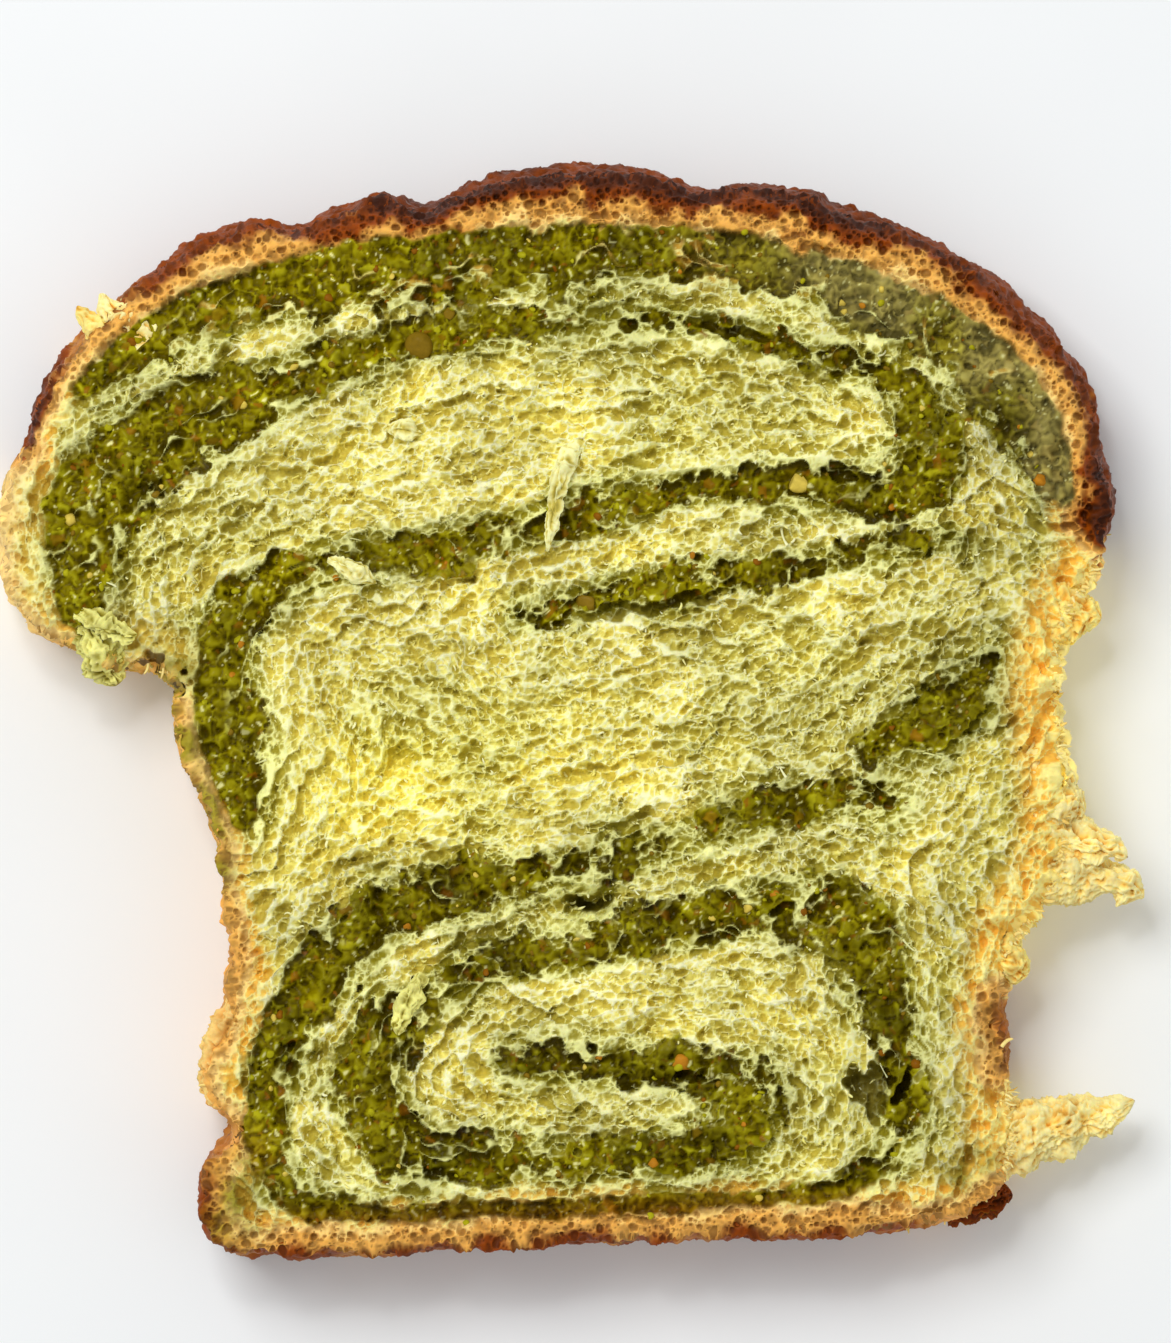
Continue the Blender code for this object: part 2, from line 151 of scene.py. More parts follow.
def turned(way: Array, angle: Array) -> Array:
    """Vectors in the plane turned by an angle each."""
    cos, sin = np.cos(angle), np.sin(angle)
    return np.stack([way[:, 0] * cos - way[:, 1] * sin, way[:, 0] * sin + way[:, 1] * cos], axis=1)


def unit(ways: Array, least: float = 1e-9) -> Array:
    """Vectors scaled to a length of one, by their own length or by the least if it is larger."""
    return ways / np.maximum(np.linalg.norm(ways, axis=-1, keepdims=True), least)


def spin(count: int, draw: np.random.Generator) -> Array:
    """Random unit vectors in space, one row each."""
    return unit(draw.normal(size=(count, 3)))


def rings(side: Array, over: Array, count: int, flat: float) -> Array:
    """Flattened circles round a line: cosine of the turn times side, plus its sine times over
    times flat.

    Args:
        side, over: unit vectors square to the line, one pair for each place on it.
        count: points on a circle.
        flat: height of a circle over its width.

    Returns:
        A circle of vectors for each pair.
    """
    turn = np.linspace(0, 2 * math.pi, count, endpoint=False)[:, None]
    return np.cos(turn) * side[..., None, :] + np.sin(turn) * over[..., None, :] * flat


def in_oval(points: Array, row: tuple[float, ...] | list[float]) -> tuple[Array, Array]:
    """Places of points along and across a turned oval, in its own half lengths.

    Args:
        points: rows of points in the plane.
        row: the oval's x, y, half length, half width and turn in degrees.

    Returns:
        Share of the half length and of the half width, for each point.
    """
    x, y, length, width, turn = row
    cos, sin = math.cos(math.radians(turn)), math.sin(math.radians(turn))
    away = points - (np.array([x, y]) + MEASURE_SHIFT)
    return away @ np.array([cos, sin]) / length, away @ np.array([-sin, cos]) / width


def scramble(cells: Array, salt: int) -> Array:
    """A number from 0 to 1 for each whole-number cell: products of its coordinates with large
    odd numbers, folded by shifts.

    Args:
        cells: whole numbers, one row for each cell.
        salt: picks one of many independent sets.

    Returns:
        One number for each row.
    """
    factors = np.array([374761393, 668265263, 1442695041], dtype=np.int64)[: cells.shape[1]]
    key = cells.astype(np.int64) @ factors + np.int64(salt) * 1013904223
    key = (key ^ (key >> 13)) * 1274126177
    key = (key ^ (key >> 16)) & 0xFFFFF
    return key / 0xFFFFF


@dataclass(frozen=True)
class Ripple:
    """Smooth random waves from about -1 to 1, in the plane or in space."""

    width: float
    seed: int
    octaves: int = 1

    def at(self, points: Array) -> Array:
        """Sum of layers, each half as wide and high as the one before. A layer blends the random
        values at the corners of the point's cell by the curve 6t^5 - 15t^4 + 10t^3.

        Args:
            points: rows of two or three coordinates.

        Returns:
            One height for each row.
        """
        total = np.zeros(len(points))
        for octave in range(self.octaves):
            spot = points * 2**octave / self.width + 37.7 * octave
            cell = np.floor(spot).astype(np.int64)
            part = spot - cell
            blend = part**3 * (part * (part * 6 - 15) + 10)
            for corner in product((0, 1), repeat=points.shape[1]):
                weight = np.prod(np.where(corner, blend, 1 - blend), axis=1)
                value = scramble(cell + np.array(corner), self.seed + octave)
                total += weight * (value * 2 - 1) * 0.5**octave
        return total * 1.5

    def push(self, points: Array, axes: int | None = None) -> Array:
        """Waves along each axis, by ripples of their own whose seeds follow one another."""
        seeds = range(self.seed, self.seed + (axes or points.shape[1]))
        return np.stack([Ripple(self.width, s, self.octaves).at(points) for s in seeds], axis=1)


@dataclass(frozen=True)
class Cells:
    """Close-packed irregular cells, with one seed point to each square of a grid."""

    size: float
    seed: int
    jitter: float = 0.95

    def at(
        self, points: Array, along: Array | None = None, stretch: float | Array = 1.0
    ) -> tuple[Array, Array, Array]:
        """Distances to the nearest and second nearest seed, in cell sizes. With a direction, a
        distance is divided by the root of stretch along it and multiplied by it across.

        Args:
            points: rows of two or three coordinates.
            along: unit vectors in the plane, one for each point.
            stretch: how much longer than wide the cells are.

        Returns:
            Nearest distance, second nearest distance, and a random number of the nearest cell.
        """
        spot = points / self.size
        base = np.floor(spot).astype(np.int64)
        reach = 1 if along is None else 2
        near = np.full(len(points), 9.0)
        second = np.full(len(points), 9.0)
        number = np.zeros(len(points))
        for offset in product(range(-reach, reach + 1), repeat=points.shape[1]):
            cell = base + np.array(offset)
            seed_point = [scramble(cell, self.seed * 7 + axis) for axis in range(points.shape[1])]
            away = cell + 0.5 + (np.stack(seed_point, axis=1) - 0.5) * self.jitter - spot
            if along is None:
                squared = (away**2).sum(axis=1)
            else:
                forward = (away * along).sum(axis=1)
                squared = forward**2 / stretch + ((away**2).sum(axis=1) - forward**2) * stretch
            closer = squared < near
            second = np.where(closer, near, np.minimum(second, squared))
            near = np.where(closer, squared, near)
            number = np.where(closer, scramble(cell, self.seed * 7 + 5), number)
        return np.sqrt(near), np.sqrt(second), number

    def bubbles(self, points: Array, low: float = 0.10, high: float = 0.72,
                along: Array | None = None, stretch: float | Array = 1.0) -> tuple[Array, Array]:
        """Bubbles cut open, one in each cell: a smooth step of the gap between the second nearest
        and the nearest distance.

        Args:
            points, along, stretch: as for the cells.
            low, high: the gap at the rounded wall and at the floor.

        Returns:
            Depth from 0 on the wall to 1 on the floor, and a random number of the nearest cell.
        """
        near, second, number = self.at(points, along, stretch)
        return ease(low, high, second - near), number


@dataclass
class PlaneField:
    """Numbers on a square grid over the plane, read between the grid's points."""

    low: Array
    step: float
    values: Array

    def at(self, points: Array) -> Array:
        """Straight-line blend of the four grid values round each point, along both axes.

        Args:
            points: rows of points in the plane.

        Returns:
            A value or a row of values for each point.
        """
        spot = (points - self.low) / self.step
        rows, columns = self.values.shape[:2]
        x = np.clip(spot[:, 0], 0, columns - 1.001)
        y = np.clip(spot[:, 1], 0, rows - 1.001)
        i, j = x.astype(int), y.astype(int)
        u, v = x - i, y - j
        if self.values.ndim == 3:
            u, v = u[:, None], v[:, None]
        upper = self.values[j + 1, i] * (1 - u) + self.values[j + 1, i + 1] * u
        return (self.values[j, i] * (1 - u) + self.values[j, i + 1] * u) * (1 - v) + upper * v


def blur(values: Array, width: float) -> Array:
    """Bell-curve smoothing: the transform of the grid times exp(-2 (pi f width) squared).

    Args:
        values: rows of numbers, with edges mirrored before smoothing.
        width: spread of the bell curve in grid steps.

    Returns:
        The smoothed rows.
    """
    rim = int(3 * width) + 2
    padded = np.pad(values, rim, mode="reflect")
    rows = np.fft.fftfreq(padded.shape[0])[:, None]
    columns = np.fft.rfftfreq(padded.shape[1])[None, :]
    bell = np.exp(-2 * (math.pi * width) ** 2 * (rows**2 + columns**2))
    smooth = np.fft.irfft2(np.fft.rfft2(padded) * bell, padded.shape)
    return smooth[rim:-rim, rim:-rim]


def plane_points(low: Array, high: Array, step: float) -> tuple[Array, tuple[int, int]]:
    """Points of a square grid over a rectangle.

    Args:
        low, high: corners of the rectangle.
        step: distance between neighbours.

    Returns:
        Rows of points and the grid's shape as rows and columns.
    """
    x = np.arange(low[0], high[0] + step, step)
    y = np.arange(low[1], high[1] + step, step)
    grid = np.stack(np.meshgrid(x, y), axis=-1)
    return grid.reshape(-1, 2), grid.shape[:2]


def node_triangles(node: bpy.types.Object) -> Array:
    """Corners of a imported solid's triangles.

    Args:
        node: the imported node.

    Returns:
        Corners in millimetres, three by three.
    """
    mesh = node.data
    mesh.calc_loop_triangles()
    corners = np.empty(len(mesh.vertices) * 3, dtype=np.float32)
    mesh.vertices.foreach_get("co", corners)
    index = np.empty(len(mesh.loop_triangles) * 3, dtype=np.int32)
    mesh.loop_triangles.foreach_get("vertices", index)
    return corners.reshape(-1, 3)[index].reshape(-1, 3, 3).astype(float) / MM


def level_loops(triangles: Array, height: float) -> list[Array]:
    """Closed loops in which a level plane cuts a solid.

    Each triangle that crosses the plane gives a segment with the solid on its left, and each
    segment is followed by the one that starts nearest to its end.

    Args:
        triangles: corners, three by three.
        height: the plane's height.

    Returns:
        Loops of points in the plane, the widest first.
    """
    above = triangles[:, :, 2] > height
    crossing = above.any(axis=1) & ~above.all(axis=1)
    corners, above = triangles[crossing], above[crossing]
    odd = np.where(above.sum(axis=1) == 1, above.argmax(axis=1), (~above).argmax(axis=1))
    order = (odd[:, None] + np.arange(3)) % 3
    corners = np.take_along_axis(corners, order[:, :, None], axis=1)
    tip = corners[:, :1]
    share = (height - tip[:, :, 2:]) / (corners[:, 1:, 2:] - tip[:, :, 2:])
    ends = (tip + (corners[:, 1:] - tip) * share)[:, :, :2]
    facing = np.cross(corners[:, 1] - corners[:, 0], corners[:, 2] - corners[:, 0])
    travel = ends[:, 1] - ends[:, 0]
    backward = travel[:, 1] * facing[:, 0] - travel[:, 0] * facing[:, 1] < 0
    ends[backward] = ends[backward][:, ::-1]
    gaps = np.linalg.norm(ends[:, None, 1] - ends[None, :, 0], axis=2)
    after = gaps.argmin(axis=1)
    loops, free = [], set(range(len(ends)))
    while free:
        at, loop = free.pop(), []
        while True:
            loop.append(ends[at, 0])
            at = int(after[at])
            if at not in free:
                break
            free.remove(at)
        loops.append(np.array(loop))
    return sorted(loops, key=lambda loop: float(np.ptp(loop, axis=0).sum()), reverse=True)


def even_loop(loop: Array, step: float, eased: float = 1.0) -> Array:
    """A closed loop evenly divided along its length, each point the mean of its neighbours.

    Args:
        loop: the loop's corners.
        step: distance between the new points.
        eased: how far along the loop the neighbours reach either way.

    Returns:
        The new loop.
    """
    ring = np.vstack([loop, loop[:1]])
    travelled = np.r_[0, np.cumsum(np.linalg.norm(np.diff(ring, axis=0), axis=1))]
    at = np.linspace(0, travelled[-1], int(travelled[-1] / step), endpoint=False)
    even = np.stack([np.interp(at, travelled, ring[:, axis]) for axis in (0, 1)], axis=1)
    reach = int(eased / step)
    turns = [np.roll(even, shift, axis=0) for shift in range(-reach, reach + 1)]
    return np.mean(turns, axis=0)


def inside_distance(points: Array, loop: Array) -> Array:
    """Signed distance to a closed loop, above zero inside it.

    The distance is the least to any side of the loop. The sign is from the count of sides that a
    ray towards +X crosses.

    Args:
        points: rows of points in the plane.
        loop: the loop's corners.

    Returns:
        One distance for each point.
    """
    start, side = loop, np.roll(loop, -1, axis=0) - loop
    length = np.maximum((side**2).sum(axis=1), 1e-12)
    parts = []
    for block in np.array_split(points, max(1, len(points) // 4000)):
        away = block[:, None] - start[None]
        share = np.clip((away * side[None]).sum(axis=2) / length, 0, 1)
        nearest = np.sqrt(((away - share[:, :, None] * side[None]) ** 2).sum(axis=2).min(axis=1))
        y = block[:, 1, None]
        spans = (start[:, 1] > y) != (start[:, 1] + side[:, 1] > y)
        rise = np.where(side[:, 1] == 0, 1, side[:, 1])
        cross = start[:, 0] + (y - start[:, 1]) / rise * side[:, 0]
        inside = (spans & (block[:, 0, None] < cross)).sum(axis=1) % 2 == 1
        parts.append(np.where(inside, nearest, -nearest))
    return np.concatenate(parts)


@dataclass
class BakeRows:
    """How the outer wall is baked and torn, at places round the slice.

    A row is x, y, brown level, which is 1 where the crust is dark, depth of the browned band on
    the cut face, radius of the rounded rim, and how torn the wall is from 0 to 1.
    """

    rows: Rows = (
        (-62.0, 36.0, 1.02, 2.4, 1.2, 0.10), (-56.0, 45.0, 0.76, 4.2, 1.2, 0.15),
        (-44.0, 54.0, 0.78, 5.6, 1.3, 0.00), (-30.0, 57.0, 0.86, 6.4, 1.3, 0.00),
        (-17.0, 59.0, 1.06, 6.0, 1.3, 0.00), (-3.0, 62.5, 1.08, 6.6, 1.3, 0.00),
        (12.0, 61.5, 1.02, 6.4, 1.3, 0.00), (27.0, 59.3, 1.04, 6.4, 1.3, 0.00),
        (42.6, 54.0, 0.92, 6.0, 1.3, 0.00), (53.0, 46.0, 0.83, 5.6, 1.2, 0.00),
        (60.3, 35.0, 0.84, 4.8, 1.2, 0.00), (61.5, 23.0, 1.25, 5.0, 1.2, 0.10),
        (58.5, 14.0, 0.30, 3.0, 0.9, 1.00), (55.5, 3.0, 0.26, 3.6, 0.8, 1.00),
        (56.5, -10.0, 0.16, 3.8, 0.7, 1.00), (52.0, -24.0, 0.20, 3.2, 0.7, 1.00),
        (49.8, -38.0, 0.80, 3.6, 1.2, 0.20), (50.3, -49.0, 0.30, 3.0, 0.8, 1.00),
        (47.0, -57.0, 0.74, 2.6, 1.0, 0.30), (30.0, -59.6, 0.78, 4.0, 0.9, 0.00),
        (0.0, -61.4, 0.76, 4.0, 0.9, 0.00), (-30.0, -62.6, 0.76, 3.8, 0.9, 0.00),
        (-41.5, -60.0, 0.80, 3.6, 1.0, 0.00), (-42.3, -51.0, 0.72, 3.6, 1.0, 0.10),
        (-41.0, -43.0, 0.60, 2.6, 0.8, 0.30), (-40.5, -30.0, 0.62, 2.8, 0.9, 0.10),
        (-41.5, -16.0, 0.55, 2.2, 0.9, 0.10), (-45.5, -3.0, 0.52, 2.2, 0.9, 0.10),
        (-50.0, 5.0, 0.52, 1.4, 0.7, 0.40), (-58.0, 8.0, 0.56, 1.6, 0.8, 0.30),
        (-65.0, 14.0, 0.27, 3.4, 1.1, 0.10), (-65.8, 24.0, 0.27, 3.4, 1.2, 0.10),
    )

    def at(self, points: Array) -> Array:
        """Mean of the rows' values, each weighted by one over the fourth power of its distance.

        Args:
            points: rows of points in the plane.

        Returns:
            Level, depth, rim and tear for each point.
        """
        rows = np.array(self.rows)
        places = rows[:, :2] + MEASURE_SHIFT
        squared = ((points[:, None] - places[None]) ** 2).sum(axis=2) + 0.5
        weight = squared**-2
        return (weight @ rows[:, 2:]) / weight.sum(axis=1)[:, None]


@dataclass
class SliceForm:
    """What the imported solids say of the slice: its outline at wall_height, its runs of filling
    at run_height, the height of its cut face and the way that its crumb runs.

    Its fields lie on a coarse grid that goes on past the outline by the margin.
    """

    nodes: dict[str, bpy.types.Object]
    wall_height: float = 2.2
    run_height: float = 9.0
    coarse: float = 0.5
    outline_step: float = 0.28
    margin: float = 3
    ray_start: float = 60.0
    known_width: float = 1.6
    level_width: float = 0.6
    grain_width: float = 3.0
    slope_step: float = 0.6

    def __post_init__(self) -> None:
        """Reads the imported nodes: outline, distances to it and to the runs, baking, height of
        the cut face and grain."""
        solids = {name: node_triangles(node) for name, node in self.nodes.items()}
        self.outline = even_loop(level_loops(solids["dough"], self.wall_height)[0],
                                 self.outline_step)
        self.low = self.outline.min(axis=0) - self.margin
        self.high = self.outline.max(axis=0) + self.margin
        points, shape = plane_points(self.low, self.high, self.coarse)
        self.inset = self._field(inside_distance(points, self.outline[::3]), shape)
        self.runs = {}
        for name in sorted(solids):
            if name.startswith("filling"):
                edge = level_loops(solids[name], self.run_height)[0]
                self.runs[name] = self._field(-inside_distance(points, edge), shape)
        self.clear = self._field(np.min([run.values for run in self.runs.values()], axis=0), shape)
        self.bake = self._field(BakeRows().at(points), (*shape, 4))
        self.top = self._cut_face(list(solids.values()))
        self.grain = self._grain()

    def _field(self, values: Array, shape: tuple[int, ...]) -> PlaneField:
        """A field over the coarse grid."""
        return PlaneField(self.low, self.coarse, values.reshape(shape))

    def _cut_face(self, solids: list[Array]) -> PlaneField:
        """Height of the cut face, by rays straight down onto all the solids. Where a ray falls
        between them, the height is that of its neighbours.

        Args:
            solids: triangles of each solid.

        Returns:
            A field of heights.
        """
        step = 2 * self.coarse
        points, shape = plane_points(self.low, self.high, step)
        corners = np.concatenate(solids).reshape(-1, 3)
        faces = np.arange(len(corners)).reshape(-1, 3)
        tree = BVHTree.FromPolygons(corners.tolist(), faces.tolist())
        down = Vector((0, 0, -1))
        starts = [Vector((x, y, self.ray_start)) for x, y in points.tolist()]
        hits = [tree.ray_cast(start, down)[0] for start in starts]
        height = np.array([0.0 if hit is None else hit.z for hit in hits]).reshape(shape)
        known = (height > 0.6 * THICKNESS).astype(float)
        weight = np.maximum(blur(known, self.known_width), 0.02)
        fill = blur(height * known, self.known_width) / weight
        return PlaneField(self.low, step, blur(np.where(known > 0, height, fill), self.level_width))

    def _grain(self) -> PlaneField:
        """The way that the crumb is drawn out: across the slope of the distance to the filling,
        averaged over a few millimetres.

        Returns:
            A field of the cosine and the sine of twice its angle.
        """
        rise, run = np.gradient(self.clear.values, self.coarse)
        double = np.stack([rise**2 - run**2, -2 * rise * run], axis=-1)
        width = self.grain_width / self.coarse
        smooth = np.stack([blur(double[..., i], width) for i in (0, 1)], axis=-1)
        return PlaneField(self.low, self.coarse, smooth)

    def outward(self, points: Array) -> Array:
        """The way out of the slice: down the slope of the distance in from the outline.

        Args:
            points: rows of points in the plane.

        Returns:
            A unit vector for each point.
        """
        ends = self.slope_step * np.eye(2)
        slope = [self.inset.at(points - end) - self.inset.at(points + end) for end in ends]
        return unit(np.stack(slope, axis=1), least=1e-6)

    def along(self, points: Array) -> tuple[Array, Array]:
        """The way of the crumb's grain: half the angle that the grain's field gives.

        Args:
            points: rows of points in the plane.

        Returns:
            A unit vector for each point, and how strong the grain is from 0 to 1.
        """
        double = self.grain.at(points)
        angle = np.arctan2(double[:, 1], double[:, 0]) / 2
        strength = np.clip(np.hypot(double[:, 0], double[:, 1]), 0, 1)
        return np.stack([np.cos(angle), np.sin(angle)], axis=1), strength


@dataclass
class Surface:
    """A patch of faces with a colour and a wetness at each point."""

    points: Array
    quads: Array
    tint: Array
    wet: Array

    def part(self, chosen: Array) -> "Surface":
        """The same surface with only some of its quads and the points that they use.

        Args:
            chosen: which quads to keep.

        Returns:
            The smaller surface.
        """
        quads = self.quads[chosen]
        used, index = np.unique(quads, return_inverse=True)
        return Surface(self.points[used], index.reshape(-1, 4), self.tint[used], self.wet[used])

    def joined(self, other: "Surface") -> "Surface":
        """Both surfaces as one."""
        return Surface(
            np.vstack([self.points, other.points]),
            np.vstack([self.quads, other.quads + len(self.points)]),
            np.vstack([self.tint, other.tint]),
            np.concatenate([self.wet, other.wet]),
        )

    def piece(self, name: str, finish: bpy.types.Material, slot: Slot) -> bpy.types.Object:
        """Makes the mesh piece and lets it ride on the slice.

        Args:
            name: the piece's name.
            finish: its material.
            slot: the record's slot; not used.

        Returns:
            The new object.
        """
        mesh = bpy.data.meshes.new(name)
        mesh.vertices.add(len(self.points))
        mesh.vertices.foreach_set("co", (self.points * MM).astype(np.float32).ravel())
        mesh.loops.add(self.quads.size)
        mesh.loops.foreach_set("vertex_index", self.quads.astype(np.int32).ravel())
        mesh.polygons.add(len(self.quads))
        starts = np.arange(0, self.quads.size, 4, dtype=np.int32)
        mesh.polygons.foreach_set("loop_start", starts)
        mesh.update(calc_edges=True)
        mesh.validate()
        mesh.shade_smooth()
        colours = np.column_stack([self.tint, np.ones(len(self.tint))]).astype(np.float32)
        tint = mesh.color_attributes.new(name="tint", type="FLOAT_COLOR", domain="POINT")
        tint.data.foreach_set("color", colours.ravel())
        wet = mesh.attributes.new(name="wet", type="FLOAT", domain="POINT")
        wet.data.foreach_set("value", self.wet.astype(np.float32))
        mesh.materials.append(finish)
        obj = bpy.data.objects.new(name, mesh)
        bpy.context.scene.collection.objects.link(obj)
        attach(obj, "root")
        LOG.info("%s: %d quads", name, len(self.quads))
        return obj


def sheet_quads(rows: int, columns: int, closed: bool = False) -> Array:
    """Quads of a grid of points in rows, facing +Z where rows run along +Y and columns along +X.

    Args:
        rows, columns: the grid's shape.
        closed: whether the last column joins the first.

    Returns:
        Four point numbers for each quad.
    """
    across = columns if closed else columns - 1
    j, i = np.meshgrid(np.arange(rows - 1), np.arange(across), indexing="ij")
    right = (i + 1) % columns
    corners = [j * columns + i, j * columns + right, (j + 1) * columns + right, (j + 1) * columns + i]
    return np.stack(corners, axis=-1).reshape(-1, 4)


@dataclass
class Bread:
    """Relief and colour of bread and filling at any place, shared by all the pieces.

    Lengths are in millimetres. The last whole numbers given to Ripple and Cells are the seed and
    the count of octaves.
    """

    form: SliceForm
    # Torn layers of crumb, ridges of the net and torn strands: cell size or width, seed, rise.
    sheets: Rows = ((5.2, 27, 1.25), (2.5, 28, 0.75))
    ridges: Rows = ((1.9, 17, 0.50), (1.2, 19, 0.42), (0.8, 65, 0.30))
    strips: Rows = ((1.7, 24, 0.80), (1.05, 25, 0.60), (2.8, 29, 0.80))
    ridge_spread: float = 0.26
    strip_spread: float = 0.36
    # Depths of the bubbles, from the large ones to the pits in the walls.
    bubble_depths: tuple[float, ...] = (1.5, 0.85, 0.62, 0.40)
    # Grains of filling: size and seed.
    grains: Rows = ((1.35, 43), (0.90, 44), (0.90, 49), (0.56, 48), (0.56, 50))
    paste_floor: float = -0.42
    # Pits of the baked crust: cell size and depth.
    crust_pits: Rows = ((1.50, 0.80), (0.92, 0.60), (0.56, 0.42))
    # Steps of browning: the tone, the heat where it starts and where it is full, and what a pore
    # and the waver add to that heat; what a pore adds is painted shade.
    browning: tuple[tuple[str, float, float, float, float], ...] = (
        ("crust_gold", 0.10, 0.28, 0.0, 0.0),
        ("crust_orange", 0.26, 0.50, 0.06, 0.0),
        ("crust_brown", 0.58, 0.88, 0.0, 0.0),
        ("crust_dark", 0.84, 1.12, 0.0, 0.30),
    )
    # Middle and spread of the patch of yellower crumb, and what it does to red, green and blue.
    yellow_patch: Rows = ((-18.0, -7.0), (15, 8), (1.22, 1.20, 0.88))

    def warped(self, points: Array) -> Array:
        """Points pushed about by waves, so that cells have crooked walls."""
        return points + (0.40 * Ripple(2.0, 11, 2).push(points) + 0.14 * Ripple(0.6, 15).push(points))

    def crumb(self, points: Array) -> Array:
        """Relief of open crumb: bubbles cut open in three sizes, the smaller ones in the walls of
        the larger, strands that bridge them, and torn layers that rise slowly and drop sharply.

        Args:
            points: places in the plane.

        Returns:
            Height above the cut face.
        """
        along, strength = self.form.along(points)
        calm = ease(-0.4, 0.6, Ripple(9, 38, 2).at(points))
        stretch = 1.3 + 1.9 * strength * (0.35 + 0.65 * calm)
        bent = self.warped(points)
        coarse = ease(-0.5, 0.7, Ripple(8, 36, 2).at(points))
        large, number = Cells(3.5, 21).bubbles(bent, 0.06, 0.5, along, stretch)
        large = large * ease(0.70 - 0.2 * coarse, 0.95, number)
        middle, number = Cells(1.45, 22).bubbles(bent, along=along, stretch=stretch)
        middle = middle * ease(0.30, 0.9, number + 0.3 * coarse) * (1 - 0.4 * large)
        small, number = Cells(0.80, 23).bubbles(bent, along=along, stretch=stretch)
        small = small * ease(0.15, 1.0, number)
        small *= (1 - 0.3 * middle) * (1 - 0.2 * large)
        pits, number = Cells(0.50, 26).bubbles(bent, 0.15, 0.7, along, 1.3)
        pits = pits * ease(0.35, 1.0, number)
        sheets = np.zeros(len(points))
        for size, seed, rise in self.sheets:
            near, second, number = Cells(size, seed).at(bent, along, 1.4 + 2.2 * strength)
            sheets += rise * (number - 0.5) * ease(0.0, 0.10, second - near)
        clear = self.form.clear.at(points)
        layer = clear / 3.4 + 0.6 * Ripple(11, 31, 3).at(points) + 0.08 * Ripple(1.3, 37, 2).at(points)
        part = layer - np.floor(layer)
        shelf = part**2 * (1 - ease(0.93, 1.0, part)) * ease(-0.3, 0.4, Ripple(8, 33, 2).at(points))
        shelf *= ease(10, 6, clear)
        mounds = 0.65 * Ripple(5.5, 34, 3).at(points)
        height = 1.7 * shelf + sheets + mounds
        deep, less, shallow, least = self.bubble_depths
        height -= deep * large + less * middle + shallow * small + least * pits
        strands = self.strands(points, along) * (1 - 0.4 * large)
        return height + strands + self.net(points) + 0.07 * Ripple(0.5, 35, 2).at(points)

    def net(self, points: Array) -> Array:
        """Fine crooked ridges that cross the pores: each layer stands up where its waves pass
        through zero, as (1 - |wave| / spread) to the power 1.5, and comes and goes.

        Args:
            points: places in the plane.

        Returns:
            Height to add.
        """
        total = np.zeros(len(points))
        for width, seed, rise in self.ridges:
            wave = np.abs(Ripple(width, seed, 2).at(points))
            line = np.clip(1 - wave / self.ridge_spread, 0, 1) ** 1.5
            total += rise * line * ease(-0.5, 0.3, Ripple(3.0, seed + 30).at(points))
        return total

    def strands(self, points: Array, along: Array) -> Array:
        """Torn strands lying on the crumb: long cells, each a ridge exp(-(distance / spread)
        squared) about its seed, turned somewhat off the grain by waves.

        Args:
            points: places in the plane.
            along: unit vectors along the crumb's grain.

        Returns:
            Height to add.
        """
        total = np.zeros(len(points))
        for size, seed, rise in self.strips:
            way = turned(along, 0.75 * Ripple(2.6, seed + 40, 2).at(points))
            near, _, number = Cells(size, seed).at(points, way, 4.5)
            total += rise * number * np.exp(-((near / self.strip_spread) ** 2))
        return total

    def veils(self, points: Array) -> Array:
        """Thin drawn-out sheets of crumb that cross the filling: long cells, each a band about
        its seed, in a little over half of them.

        Args:
            points: places in the plane.

        Returns:
            Share of crumb from 0 to 1.
        """
        along, _ = self.form.along(points)
        way = turned(along, 0.8 * Ripple(5.0, 57, 2).at(points))
        near, _, number = Cells(4.6, 60).at(points + 0.7 * Ripple(3.0, 58, 2).push(points), way, 7.0)
        return ease(0.24, 0.10, near) * ease(0.40, 0.60, number)

    def paste(self, points: Array) -> tuple[Array, Array, Array]:
        """Relief of ground nut filling: a heap of crooked round grains in five layers, each grain
        half a ball about its seed, the highest one showing at each place.

        Args:
            points: places in the plane.

        Returns:
            Height, a random number for each grain, and distance from its middle to its rim.
        """
        bent = points + (0.26 * Ripple(1.0, 41).push(points) + 0.05 * Ripple(0.45, 47).push(points))
        height = np.full(len(points), self.paste_floor)
        number = np.full(len(points), 0.3)
        nearest = np.ones(len(points))
        for size, seed in self.grains:
            near, _, which = Cells(size, seed).at(bent)
            reach = 0.40 + 0.22 * which
            ball = np.sqrt(np.clip(1 - (near / reach) ** 2, 0, 1))
            level = np.where(ball > 0, size * reach * ball + 0.5 * (which - 0.75), -1)
            higher = level > height
            height = np.where(higher, level, height)
            number = np.where(higher, (which * 7.3) % 1, number)
            nearest = np.where(higher, near / reach, nearest)
        clumps = 0.60 * Ripple(3.6, 45, 3).at(points)
        return height + clumps - 0.35, number, nearest

    def paste_tint(self, points: Array, lit: Array, number: Array, near: Array) -> Array:
        """Colour of the filling: painted shade in its gaps, painted highlight on grain tops, lighter
        on some grains, brown on a few, painted glints as pale specks on others, and greyer towards the
        right end of the crown.

        Args:
            points: places in the plane.
            lit: how far each stands out, about 0 in gaps and 1 on tops.
            number: a random number for each grain.
            near: distance from a grain's middle, 1 at its rim.

        Returns:
            A colour for each point.
        """
        # Painted shade in the gaps between grains.
        tint = mix(TONES.paste_gap_shade, TONES.paste_mid, ease(-0.1, 0.6, lit))
